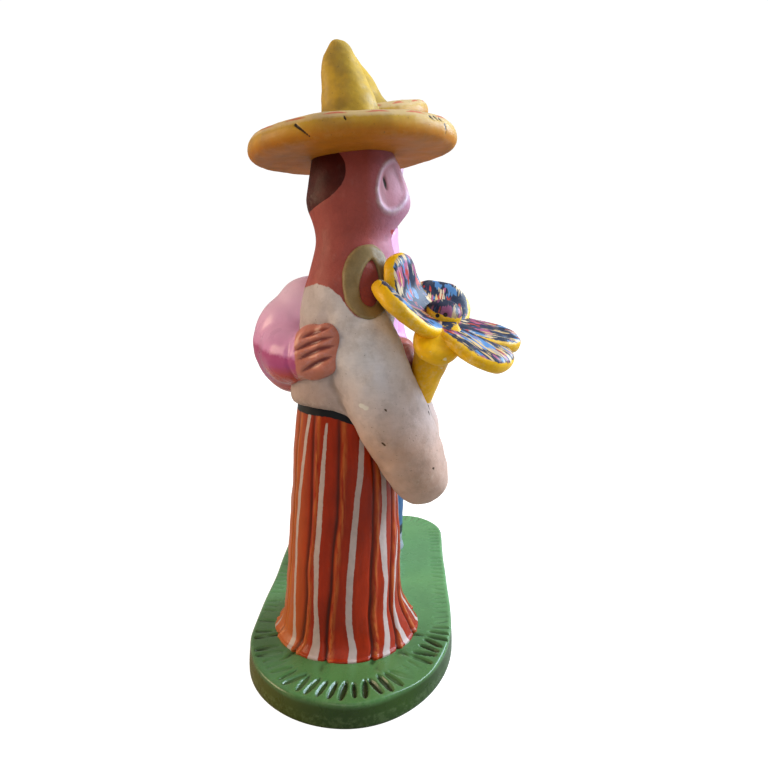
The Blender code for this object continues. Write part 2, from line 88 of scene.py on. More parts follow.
# Each petal: its turn from the front, its length and half width as shares of half the flower's
# span, how far its tip is bent up, its twist about its own length, both in degrees, and its lift.
PETALS = [
    (12.0, 1.13, 0.40, -1.0, 0.0, 0.0),
    (-32.0, 1.07, 0.48, -9.0, 0.0, 0.0),
    (-94.0, 0.76, 0.30, -38.0, -8.0, 1.2),
    (-150.0, 1.16, 0.45, 31.0, 4.0, 0.0),
    (174.0, 1.16, 0.34, 60.0, 24.0, 0.0),
    (94.0, 0.86, 0.44, 34.0, 0.0, 0.0),
]
# The hanging petal, whose outer half is left yellow
LOW_PETAL = 2

# Paints used in more than one place
BELT_BLACK = "15161A"
TROUSER_BLUE = "2E5578"
# A distance beyond the reach of every mark and stroke
NOWHERE = 9.0

# Stations of each body: height, how far back its middle is, half width, half depth
SKIRT_STATIONS = [
    (-3.0, 3.5, 28.6, 28.6), (0.0, 3.5, 29.5, 29.5), (1.2, 3.4, 28.3, 28.4), (3.8, 3.1, 26.4, 26.8),
    (9.0, 4.0, 24.4, 25.0), (15.0, 4.6, 23.3, 23.7), (27.0, 4.5, 22.2, 22.9), (44.0, 4.0, 21.2, 22.0),
    (61.0, 4.0, 20.0, 20.6), (78.0, 4.3, 18.8, 19.0), (91.4, 4.4, 17.6, 17.4), (97.0, 4.4, 17.2, 17.0),
]
BLOUSE_STATIONS = [
    (94.2, 4.7, 17.6, 17.4), (95.2, 4.8, 18.9, 18.7), (97.5, 5.0, 19.4, 19.2), (110.0, 4.0, 19.6, 19.0),
    (121.0, 2.6, 20.0, 17.9), (129.0, 1.8, 20.3, 17.8), (137.0, 0.9, 19.6, 17.4), (143.0, -0.1, 18.2, 16.4),
    (148.0, -0.6, 16.3, 15.4), (153.0, -0.5, 14.3, 14.3), (157.0, -0.6, 13.3, 14.3),
]
WOMAN_HEAD_STATIONS = [
    (161.6, -1.8, 13.9, 16.5), (165.8, -2.6, 14.7, 18.8), (169.3, -2.5, 15.1, 19.2),
    (173.0, -2.3, 15.1, 18.4), (178.0, -1.7, 14.8, 17.0), (181.6, -1.3, 14.2, 16.0),
    (185.0, -0.8, 13.5, 14.8), (190.0, -0.5, 12.6, 13.4),
]
SHIRT_STATIONS = [
    (56.0, 1.0, 9.0, 9.0), (68.0, 1.5, 18.6, 15.4), (80.0, 2.0, 19.6, 16.8), (85.4, 2.2, 19.4, 16.8),
    (86.8, 2.2, 20.9, 18.2), (92.0, 2.3, 21.2, 18.4), (108.0, 2.0, 20.8, 17.8), (128.0, 0.8, 21.6, 17.3),
    (146.0, 0.0, 22.4, 16.8), (154.0, -0.5, 21.0, 16.2), (162.0, -1.0, 17.4, 15.0),
    (169.0, -1.2, 14.2, 13.8), (174.0, -1.0, 13.2, 13.8),
]
MAN_HEAD_STATIONS = [
    (181.0, -1.0, 14.0, 15.4), (187.0, -1.4, 15.0, 17.2), (192.0, -1.2, 15.2, 17.1),
    (198.0, -0.8, 14.9, 15.8), (203.0, -0.4, 14.2, 14.6), (209.0, 0.0, 13.2, 13.4),
]
TROUSER_STATIONS = [
    (-3.0, -0.6, 9.6, 14.0), (4.0, -0.6, 10.6, 15.4), (9.0, -0.6, 11.4, 16.0), (13.0, -0.8, 10.8, 15.8),
    (30.0, -1.2, 10.6, 16.0), (50.0, -0.4, 10.4, 15.6), (72.0, 1.5, 9.6, 14.2), (80.0, 1.8, 8.0, 12.0),
]
# A crown: height above the brim's underside, how far its middle leans back, radius
CROWN_STATIONS = [
    (7.0, 0.0, 18.0), (9.5, -0.1, 14.0), (14.5, -0.3, 10.9), (20.5, 0.4, 9.6), (25.0, 1.0, 8.6),
    (30.0, 1.9, 7.3), (34.5, 2.4, 5.7), (38.4, 2.6, 3.4), (40.0, 3.2, 1.4),
]

# The dry cracks in the near rim, in the hat's own place before it is tilted
RIM_CRACKS = [
    [(-34.0, 15.0, 5.4), (-35.2, 12.8, 3.2), (-35.8, 10.6, 0.8)],
    [(-37.4, -0.5, 5.8), (-37.4, -1.4, 4.6)],
    [(-19.0, -32.4, 4.8), (-18.2, -32.8, 2.0)],
    [(-25.2, -28.0, 6.6), (-24.0, -29.2, 5.4)],
    [(-23.2, -29.6, 6.9), (-22.0, -30.6, 5.7)],
    [(-21.0, -31.2, 6.5), (-20.2, -31.8, 5.6)],
]

# The edges of the collar's loop on the side of the neck, as (forward or back, height)
COLLAR_OUTER = [
    (-8.2, 153.4), (-3.8, 152.9), (-0.8, 150.8), (1.0, 148.0), (1.9, 145.0), (2.2, 141.6), (1.8, 137.6),
    (0.6, 133.6), (-1.8, 130.2), (-4.7, 128.4), (-8.4, 127.8), (-12.4, 129.6), (-14.6, 134.0),
    (-14.6, 140.0), (-13.8, 145.8), (-12.0, 150.6),
]
COLLAR_INNER = [
    (-7.9, 147.6), (-6.6, 146.2), (-5.6, 144.6), (-5.0, 143.0), (-4.5, 141.2), (-4.2, 139.2), (-4.3, 136.8),
    (-4.8, 134.9), (-5.6, 133.5), (-6.8, 132.5), (-8.4, 132.2), (-9.8, 133.6), (-10.4, 136.0),
    (-10.4, 139.4), (-10.1, 142.6), (-9.2, 145.8),
]

# The gaps between the flat hand's fingers and the crease at its wrist, as (back, height)
FINGER_GAPS = [
    [(16.6, 121.2), (11.0, 124.2), (5.6, 125.6)],
    [(18.8, 116.6), (11.5, 120.4), (4.4, 122.2)],
    [(17.4, 113.6), (10.5, 117.4), (4.2, 119.0)],
    [(16.2, 109.2), (10.0, 113.0), (5.0, 115.2)],
]
WRIST_CREASE = [(20.2, 121.0), (21.6, 117.0), (21.6, 110.0), (19.0, 103.5)]

# The skirt's pressed grooves, each as (height, angle) from the hem up; angle 0 is the front and the
# near side is negative. Those of the side that the photograph doesn't show follow at even steps.
GROOVES = [
    [(0, -158), (11, -157), (23, -155), (90, -150)],
    [(0, -129), (11, -125), (21, -123), (31, -125), (48, -122), (86, -120)],
    [(0, -101), (5, -103), (14, -100), (26, -97), (42, -96), (54, -92), (83, -88)],
    [(0, -66), (9, -62), (20, -58), (32, -57), (52, -54), (67, -50), (79, -50)],
    [(0, -42), (8, -36), (17, -33), (36, -29), (52, -24), (65, -21), (88, -19)],
    [(0, -17), (14, -14), (21, -11), (88, -6)],
]
FAR_GROOVES = (18, 50, 83, 115, 148, 176)
# The white stripes: (height, angle, width)
STRIPES = [
    [(0, -168, 1.6), (4, -172, 1.2), (90, -165, 1.0)],
    [(0, -135, 2.6), (8, -138, 1.7), (16, -139, 1.3), (42, -142, 1.6), (60, -140, 1.8), (92, -128, 1.5)],
    [
        (0, -111, 4.4), (3, -112, 3.4), (12, -111, 2.0), (19, -112, 1.6), (38, -113, 2.3), (64, -109, 2.0),
        (89.5, -103, 1.0)
    ],
    [
        (0, -81, 3.4), (7, -81, 2.3), (30, -79, 2.5), (46, -76, 2.4), (61, -71, 2.1), (70, -66, 2.4),
        (84.5, -61, 1.9)
    ],
    [
        (0, -54, 3.4), (7, -47, 2.4), (15, -42, 2.0), (26, -39, 2.4), (44, -43, 3.8), (52, -40, 2.6),
        (67, -35, 3.2), (79, -40, 2.6)
    ],
    [(0, -31, 3.0), (6, -33, 2.4), (16, -27, 1.4), (31, -20, 1.5), (47, -10, 1.4), (88, -4, 1.2)],
    [(0, 2, 2.6), (8, -1, 1.8), (14, -6, 1.5), (80, 10, 1.4)],
]
FAR_STRIPES = (34, 66, 99, 131, 162)


def linear(code):
    """An sRGB hex colour as linear red, green, blue and alpha."""
    values = [int(code[i:i + 2], 16) / 255.0 for i in (0, 2, 4)]
    return (*[v / 12.92 if v <= 0.04045 else ((v + 0.055) / 1.055) ** 2.4 for v in values], 1.0)


def curve_through(points, spans, closed=False):
    """Rows on a smooth curve through the given rows, spans steps between each two."""
    points = np.asarray(points, float)
    count = len(points)
    last = count if closed else count - 1
    rows = []
    for index in range(last):
        if closed:
            a, b, c, d = (points[(index + k) % count] for k in (-1, 0, 1, 2))
        else:
            a, b, c, d = (points[min(max(index + k, 0), count - 1)] for k in (-1, 0, 1, 2))
        for step in range(spans):
            t = step / spans
            rows.append(b + 0.5 * t * (c - a + t * (2 * a - 5 * b + 4 * c - d + t * (3 * (b - c) + d - a))))
    if not closed:
        rows.append(points[-1])
    return np.array(rows)


def skin(rings):
    """Points and faces of a closed skin through rings of equal counts, fanned shut at both ends."""
    rings = np.asarray(rings)
    rows, columns = rings.shape[:2]
    index = np.arange(rows * columns).reshape(rows, columns)
    after = np.roll(index, -1, axis=1)
    quads = np.stack([index[:-1], after[:-1], after[1:], index[1:]], axis=-1).reshape(-1, 4)
    low = rows * columns
    points = np.vstack([rings.reshape(-1, 3), rings[0].mean(axis=0), rings[-1].mean(axis=0)])
    faces = quads.tolist()
    faces += [(int(after[0, k]), int(index[0, k]), low) for k in range(columns)]
    faces += [(int(index[-1, k]), int(after[-1, k]), low + 1) for k in range(columns)]
    return points, faces


def ring_skin(rings):
    """Points and faces of a skin through rings that run round and meet again."""
    rings = np.asarray(rings)
    rows, columns = rings.shape[:2]
    index = np.arange(rows * columns).reshape(rows, columns)
    after = np.roll(index, -1, axis=1)
    quads = np.stack([index, after, np.roll(after, -1, axis=0), np.roll(index, -1, axis=0)], axis=-1)
    return rings.reshape(-1, 3), quads.reshape(-1, 4).tolist()


def together(parts):
    """Several (points, faces) as one."""
    points = []
    faces = []
    count = 0
    for part_points, part_faces in parts:
        points.append(part_points)
        faces += [tuple(i + count for i in face) for face in part_faces]
        count += len(part_points)
    return np.vstack(points), faces


def piece(name, points, faces):
    """A smooth-shaded mesh object at the origin, with its faces pointing out."""
    mesh = bpy.data.meshes.new(name)
    mesh.from_pydata((np.asarray(points) * MM).tolist(), [], faces)
    builder = bmesh.new()
    builder.from_mesh(mesh)
    bmesh.ops.recalc_face_normals(builder, faces=builder.faces)
    builder.to_mesh(mesh)
    builder.free()
    mesh.shade_smooth()
    made = bpy.data.objects.new(name, mesh)
    bpy.context.scene.collection.objects.link(made)
    return made


def baked(thing):
    """The object with its modifiers turned into plain mesh."""
    depsgraph = bpy.context.evaluated_depsgraph_get()
    mesh = bpy.data.meshes.new_from_object(
        thing.evaluated_get(depsgraph), preserve_all_data_layers=True, depsgraph=depsgraph
    )
    thing.modifiers.clear()
    old = thing.data
    thing.data = mesh
    bpy.data.meshes.remove(old)
    mesh.shade_smooth()
    return thing


def points_of(thing):
    """The mesh's points in millimetres."""
    flat = np.empty(len(thing.data.vertices) * 3)
    thing.data.vertices.foreach_get("co", flat)
    return flat.reshape(-1, 3) / MM


def set_points(thing, points):
    """Move the mesh's points, given in millimetres."""
    thing.data.vertices.foreach_set("co", (points * MM).ravel())
    thing.data.update()


def normals_of(thing):
    """The normal at each point."""
    flat = np.empty(len(thing.data.vertices) * 3)
    thing.data.vertex_normals.foreach_get("vector", flat)
    return flat.reshape(-1, 3)


def averaged(thing, values, rounds):
    """Values at the points, each replaced by the mean of its neighbours, rounds times over."""
    mesh = thing.data
    pairs = np.empty(len(mesh.edges) * 2, np.int32)
    mesh.edges.foreach_get("vertices", pairs)
    first, second = pairs.reshape(-1, 2).T
    count = len(mesh.vertices)
    share = np.maximum(np.bincount(first, minlength=count) + np.bincount(second, minlength=count), 1)
    values = values.reshape(count, -1).copy()
    for _ in range(rounds):
        for column in range(values.shape[1]):
            here = values[:, column]
            total = np.bincount(first, weights=here[second], minlength=count)
            total += np.bincount(second, weights=here[first], minlength=count)
            values[:, column] = total / share
    return values


def field(thing, name, values):
    """Keep one number for each point, for the paint to read."""
    layer = thing.data.attributes.new(name, "FLOAT", "POINT")
    layer.data.foreach_set("value", np.asarray(values, np.float32))


def hollows_and_edges(thing, rounds=14):
    """Keep how deep each point lies below its surroundings, in millimetres; edges are negative."""
    points = points_of(thing)
    lifted = averaged(thing, points, rounds) - points
    field(thing, "hollow", np.einsum("ij,ij->i", lifted, normals_of(thing)))


def uneven(points, size, seed):
    """Soft unevenness between about -1 and 1, with swells about size millimetres apart."""
    rng = np.random.default_rng(seed)
    total = np.zeros(len(points))
    for _ in range(12):
        direction = rng.normal(size=3)
        direction *= 2.0 * math.pi / (np.linalg.norm(direction) * size * rng.uniform(0.7, 1.6))
        total += np.cos(points @ direction + rng.uniform(0.0, 6.3))
    return total / 4.0


def along_path(points, path):
    """For each point, its distance from a line of points and how far along the line that is, 0 to 1."""
    path = np.asarray(path, float)
    nearest = np.full(len(points), 1e9)
    share = np.zeros(len(points))
    spans = len(path) - 1
    for k in range(spans):
        span = path[k + 1] - path[k]
        t = np.clip((points - path[k]) @ span / (span @ span), 0.0, 1.0)
        away = np.linalg.norm(points - path[k] - t[:, None] * span, axis=1)
        closer = away < nearest
        nearest[closer] = away[closer]
        share[closer] = (k + t[closer]) / spans
    return nearest, share


def step_between(values, low, high):
    """A smooth step from 0 at low to 1 at high."""
    t = np.clip((values - low) / (high - low), 0.0, 1.0)
    return t * t * (3.0 - 2.0 * t)


def body_skin(stations, columns, spans, at):
    """A standing form through oval stations."""
    smooth = curve_through(stations, spans)
    angles = 2.0 * math.pi * np.arange(columns) / columns
    rings = []
    for height, back, half_width, half_depth in smooth:
        x = half_width * np.sin(angles)
        y = back - half_depth * np.cos(angles)
        rings.append(np.stack([x, y, np.full(columns, height)], axis=1) + at)
    return skin(rings)


def limb_skin(points, columns, spans):
    """A rounded limb through (x, y, z, radius) rows, already in the model's place."""
    rows = curve_through(points, spans)
    places = rows[:, :3]
    tangents = np.gradient(places, axis=0)
    tangents /= np.linalg.norm(tangents, axis=1)[:, None]
    frames = list(zip(places, tangents, rows[:, 3]))
    for angle in np.radians([20.0, 40.0, 60.0, 78.0]):
        first = (
            places[0] - tangents[0] * rows[0, 3] * math.sin(angle), tangents[0],
            rows[0, 3] * math.cos(angle)
        )
        last = (
            places[-1] + tangents[-1] * rows[-1, 3] * math.sin(angle), tangents[-1],
            rows[-1, 3] * math.cos(angle)
        )
        frames = [first] + frames + [last]
    across = np.cross(tangents[0], [0.0, 0.0, 1.0])
    turns = 2.0 * math.pi * np.arange(columns)[:, None] / columns
    rings = []
    for place, tangent, radius in frames:
        across = across - tangent * (across @ tangent)
        across /= np.linalg.norm(across)
        up = np.cross(across, tangent)
        rings.append(place + radius * (np.cos(turns) * across + np.sin(turns) * up))
    return skin(rings)


def ball_skin(middle, radii, columns=64, rows=40, blunt=1.0):
    """A rounded lump; blunt under 1 makes it boxier."""
    rings = []
    turns = 2.0 * math.pi * np.arange(columns) / columns
    for rise in np.linspace(-0.5 * math.pi, 0.5 * math.pi, rows + 2)[1:-1]:
        girth = math.cos(rise) ** blunt
        x = np.sign(np.cos(turns)) * np.abs(np.cos(turns)) ** blunt * girth
        y = np.sign(np.sin(turns)) * np.abs(np.sin(turns)) ** blunt * girth
        z = math.copysign(abs(math.sin(rise)) ** blunt, rise)
        rings.append(
            np.stack([x * radii[0], y * radii[1], np.full(columns, z * radii[2])], axis=1) + middle
        )
    return skin(rings)


def shifted(rows, at):
    """Limb rows moved from a figure's own place into the model's."""
    return [(x + at[0], y + at[1], z + at[2], radius) for x, y, z, radius in rows]


def pressed_lump(name, parts, grain, rubbed):
    """Lumps of clay pressed into one: their skins are merged and the joins rubbed smooth."""
    lump = piece(name, *together(parts))
    merge = lump.modifiers.new("merge_skins", "REMESH")
    merge.mode = "VOXEL"
    merge.voxel_size = grain * MM
    baked(lump)
    set_points(lump, averaged(lump, points_of(lump), rubbed))
    return lump


def carve(thing, depths):
    """Press the surface in by depths, in millimetres, along its normals."""
    set_points(thing, points_of(thing) - normals_of(thing) * depths[:, None])


# Slab


def slab_outline(count):
    """The slab's outline as even points, with the outward direction at each."""
    half_length = BASE_LENGTH / 2.0
    half_width = BASE_WIDTH / 2.0
    far = BASE_FAR_RADIUS
    corners = [
        (half_length - far, half_width - far, far, far, 0.0),
        (BASE_NEAR_BACK_CURVE - half_length, 0.0, BASE_NEAR_BACK_CURVE, half_width, 90.0),
        (BASE_NEAR_FRONT_CURVE - half_length, 0.0, BASE_NEAR_FRONT_CURVE, half_width, 180.0),
        (half_length - far, far - half_width, far, far, 270.0),
    ]
    rows = []
    for middle_x, middle_y, reach_x, reach_y, start in corners:
        for step in range(60):
            angle = math.radians(start + 90.0 * (step + 0.5) / 60.0)
            rows.append((middle_x + reach_x * math.cos(angle), middle_y + reach_y * math.sin(angle)))
    rows = np.array(rows + rows[:1])
    lengths = np.concatenate([[0.0], np.cumsum(np.linalg.norm(np.diff(rows, axis=0), axis=1))])
    spots = lengths[-1] * np.arange(count) / count
    outline = np.stack([np.interp(spots, lengths, rows[:, k]) for k in (0, 1)], axis=1)
    tangent = np.roll(outline, -2, axis=0) - np.roll(outline, 2, axis=0)
    tangent /= np.linalg.norm(tangent, axis=1)[:, None]
    return outline, np.stack([tangent[:, 1], -tangent[:, 0]], axis=1)


def grass_tree():
    """Geometry Nodes: lens-shaped marks pressed into clay, at even steps along a line."""
    tree = bpy.data.node_groups.new("pressed_grass", "GeometryNodeTree")
    tree.interface.new_socket("Clay", in_out="INPUT", socket_type="NodeSocketGeometry")
    tree.interface.new_socket("Clay", in_out="OUTPUT", socket_type="NodeSocketGeometry")
    kinds = {"Line": "Object", "Seed": "Int", "Paint": "Material"}
    for name in ("Line", "Pitch", "Depth", "Half Length", "Half Width", "Soft Edge", "Grow From", "Grown At",
                 "Seed", "Paint"):
        kind = "NodeSocket" + kinds.get(name, "Float")
        tree.interface.new_socket(name, in_out="INPUT", socket_type=kind)
    given = add(tree, "NodeGroupInput").outputs
    line = add(tree, "GeometryNodeObjectInfo", {"Object": given["Line"]}).outputs["Geometry"]
    spots = add(
        tree, "GeometryNodeCurveToPoints", {"Curve": line, "Length": given["Pitch"]}, mode="LENGTH"
    ).outputs
    where = add(
        tree, "ShaderNodeSeparateXYZ", {0: add(tree, "GeometryNodeInputPosition").outputs[0]}
    ).outputs["X"]
    near = add(tree, "ShaderNodeMapRange", {
        "Value": where, "From Min": given["Grow From"], "From Max": given["Grown At"],
    }, interpolation_type="SMOOTHSTEP").outputs[0]
    # Each mark is a flat lens of its own length and width, turned a little off the line; some are left out.
    blade = add(
        tree, "GeometryNodeMeshCircle", {"Vertices": 12, "Radius": 1.0}, fill_type="NGON"
    ).outputs[0]
    facing = add(tree, "FunctionNodeAxesToRotation", {0: (0.0, 0.0, 1.0), 1: spots["Tangent"]},
                 primary_axis="Z", secondary_axis="Y").outputs[0]
    swing = add(
        tree, "FunctionNodeRandomValue", {2: -0.30, 3: 0.30, "Seed": given["Seed"]}, data_type="FLOAT"
    ).outputs[1]
    turn = add(
        tree, "FunctionNodeEulerToRotation", {0: add(tree, "ShaderNodeCombineXYZ", {"Z": swing}).outputs[0]}
    ).outputs[0]
    turned = add(
        tree, "FunctionNodeRotateRotation", {0: facing, 1: turn}, rotation_space="LOCAL"
    ).outputs[0]
    lengthen = add(tree, "ShaderNodeMath", {0: near, 1: 0.62, 2: 1.0}, operation="MULTIPLY_ADD").outputs[0]
    seed_after = add(tree, "ShaderNodeMath", {0: given["Seed"], 1: 1.0}, operation="ADD").outputs[0]
    odd = add(
        tree, "FunctionNodeRandomValue", {2: 0.72, 3: 1.12, "Seed": seed_after}, data_type="FLOAT"
    ).outputs[1]
    long = add(tree, "ShaderNodeMath", {0: lengthen, 1: odd}, operation="MULTIPLY").outputs[0]
    long = add(tree, "ShaderNodeMath", {0: long, 1: given["Half Length"]}, operation="MULTIPLY").outputs[0]
    swell = add(tree, "ShaderNodeMath", {0: near, 1: 0.55, 2: 0.6}, operation="MULTIPLY_ADD").outputs[0]
    wide = add(tree, "ShaderNodeMath", {0: swell, 1: given["Half Width"]}, operation="MULTIPLY").outputs[0]
    varied = add(
        tree, "FunctionNodeRandomValue", {2: 0.6, 3: 1.25, "Seed": seed_after}, data_type="FLOAT"
    ).outputs[1]
    wide = add(tree, "ShaderNodeMath", {0: wide, 1: varied}, operation="MULTIPLY").outputs[0]
    skipped = add(
        tree, "FunctionNodeRandomValue", {6: 0.13, "Seed": seed_after}, data_type="BOOLEAN"
    ).outputs[3]
    shown = add(tree, "FunctionNodeBooleanMath", {0: skipped}, operation="NOT").outputs[0]
    size = add(tree, "ShaderNodeCombineXYZ", {"X": long, "Y": wide, "Z": 1.0}).outputs[0]
    marks = add(tree, "GeometryNodeInstanceOnPoints", {
        "Points": spots["Points"], "Selection": shown, "Instance": blade, "Rotation": turned, "Scale": size,
    }).outputs[0]
    marks = add(tree, "GeometryNodeRealizeInstances", {0: marks}).outputs[0]
    # The clay is sunk under the marks and their soft edge, less deeply towards the far end.
    away = add(tree, "GeometryNodeProximity", {0: marks}, target_element="FACES").outputs["Distance"]
    dent = add(tree, "ShaderNodeMapRange", {
        "Value": away, "From Min": 0.0, "From Max": given["Soft Edge"], "To Min": 1.0, "To Max": 0.0,
    }, interpolation_type="SMOOTHSTEP").outputs[0]
    weak = add(tree, "ShaderNodeMath", {0: near, 1: 0.75, 2: 0.25}, operation="MULTIPLY_ADD").outputs[0]
    dent = add(tree, "ShaderNodeMath", {0: dent, 1: weak}, operation="MULTIPLY").outputs[0]
    sunk = add(tree, "ShaderNodeMath", {0: dent, 1: given["Depth"]}, operation="MULTIPLY").outputs[0]
    sunk = add(tree, "ShaderNodeMath", {0: sunk, 1: -1.0}, operation="MULTIPLY").outputs[0]
    kept = add(tree, "GeometryNodeStoreNamedAttribute", {
        "Geometry": given["Clay"], "Name": "mark", "Value": dent,
    }, data_type="FLOAT", domain="POINT").outputs[0]
    pressed = add(tree, "GeometryNodeSetPosition", {
        "Geometry": kept, "Offset": add(tree, "ShaderNodeCombineXYZ", {"Z": sunk}).outputs[0],
    }).outputs[0]
    painted = add(
        tree, "GeometryNodeSetMaterial", {"Geometry": pressed, "Material": given["Paint"]}
    ).outputs[0]
    add(tree, "NodeGroupOutput", {0: painted})
    return tree


def run_tree(thing, tree, values):
    """Apply a Geometry Nodes tree with its named inputs and keep the result as plain mesh."""
    modifier = thing.modifiers.new(tree.name, "NODES")
    modifier.node_group = tree
    for socket in tree.interface.items_tree:
        if socket.in_out == "INPUT" and socket.name in values:
            modifier[socket.identifier] = values[socket.name]
    return baked(thing)


def green_slab(paint):
    """The slab: a rolled edge, a top with grass marks, and the skirt's grooves run out on it."""
    count = 900
    ring_step = 0.55
    ringed_width = 14.0
    grid_step = 1.7
    outline, outward = slab_outline(count)
    wave = 0.35 * (1.0 + uneven(np.hstack([outline, np.zeros((count, 1))]), 26.0, 3))
    top = BASE_THICKNESS
    rows = [(0.6, 0.0), (0.0, 0.7)]
    rows += [(0.0, height) for height in np.linspace(1.6, top - EDGE_ROUNDING, 9)]
    for t in np.radians([18, 36, 54, 72, 90]):
        rows.append((EDGE_ROUNDING * (1.0 - math.cos(t)), top - EDGE_ROUNDING * (1.0 - math.sin(t))))
    rows += [(inset, top) for inset in np.arange(EDGE_ROUNDING + ring_step, ringed_width, ring_step)]
    rings = []
    for inset, height in rows:
        flat = outline - outward * (inset + wave * step_between(np.full(count, height), 2.0, top))[:, None]
        rings.append(np.hstack([flat, np.full((count, 1), height)]))
    points, faces = skin(rings)
    faces = [face for face in faces if len(points) - 1 not in face]
    last_ring = np.arange((len(rows) - 1) * count, len(rows) * count)
    edge = rings[-1][:, :2]
    grid = np.stack(
        np.meshgrid(np.arange(-80.0, 81.0, grid_step), np.arange(-40.0, 41.0, grid_step)), axis=-1
    ).reshape(-1, 2)
    gaps = np.array([np.min(np.sum((edge - spot) ** 2, axis=1)) for spot in grid])
    within = np.array([np.all(np.sum((edge - spot) * outward, axis=1) > 0.0) for spot in grid])
    grid = grid[(gaps > 1.2) & within]
    flat = [Vector(row) for row in np.vstack([edge, grid]).tolist()]
    rim = [(k, (k + 1) % count) for k in range(count)]
    found = geometry.delaunay_2d_cdt(flat, rim, [], 1, 1e-5)
    source = [entry[0] for entry in found[3]]
    new_index = np.concatenate([last_ring, len(points) - 1 + np.arange(len(grid))])
    points = np.vstack([points[:-1], np.hstack([grid, np.full((len(grid), 1), top)])])
    faces += [tuple(int(new_index[source[k]]) for k in face) for face in found[2]]
    slab = piece("green_slab", points, faces)

    spots = points_of(slab)
    on_top = step_between(spots[:, 2], top - 0.6, top)
    inner = step_between(-np.abs(spots[:, 1]), -40.0, -26.0)
    sag = (0.30 + 0.30 * uneven(spots, 34.0, 5)) * on_top * inner
    run_on = np.zeros(len(spots))
    for path in GROOVES:
        angle = math.radians(path[0][1])
        ends = [
            WOMAN_AT + [reach * math.sin(angle), HEM_BACK - reach * math.cos(angle), 0.0]
            for reach in (HEM_RADIUS, HEM_RADIUS + GROOVE_RUN_OUT)
        ]
        away, share = along_path(spots, ends)
        run_on = np.maximum(run_on, np.exp(-((away / 0.75) ** 2)) * (1.0 - 0.75 * share))
    spots[:, 2] -= np.maximum(sag, 0.0) + 0.9 * run_on * on_top
    set_points(slab, spots)

    near_share = step_between(-outline[:, 0], 30.0, 62.0)
    inset = 4.6 + 3.0 * near_share
    line_rows = (outline - outward * inset[:, None])[::3]
    line = bpy.data.curves.new("grass_line", "CURVE")
    line.dimensions = "3D"
    spline = line.splines.new("POLY")
    spline.points.add(len(line_rows) - 1)
    for k, row in enumerate(line_rows):
        spline.points[k].co = (row[0] * MM, row[1] * MM, top * MM, 1.0)
    spline.use_cyclic_u = True
    guide = bpy.data.objects.new("grass_line", line)
    bpy.context.scene.collection.objects.link(guide)
    run_tree(slab, grass_tree(), {
        "Line": guide, "Pitch": MARK_PITCH * MM, "Depth": MARK_DEPTH * MM,
        "Half Length": MARK_HALF_LENGTH * MM, "Half Width": MARK_HALF_WIDTH * MM,
        "Soft Edge": MARK_SOFT_EDGE * MM, "Grow From": MARKS_GROW_FROM * MM,
        "Grown At": MARKS_GROWN_AT * MM, "Seed": 4, "Paint": paint,
    })
    bpy.data.objects.remove(guide, do_unlink=True)
    marks = np.empty(len(slab.data.vertices), np.float32)
    slab.data.attributes["mark"].data.foreach_get("value", marks)
    slab.data.attributes.remove(slab.data.attributes["mark"])
    field(slab, "mark", np.maximum(marks, run_on))
    hollows_and_edges(slab, 10)
    return slab


# Near figure


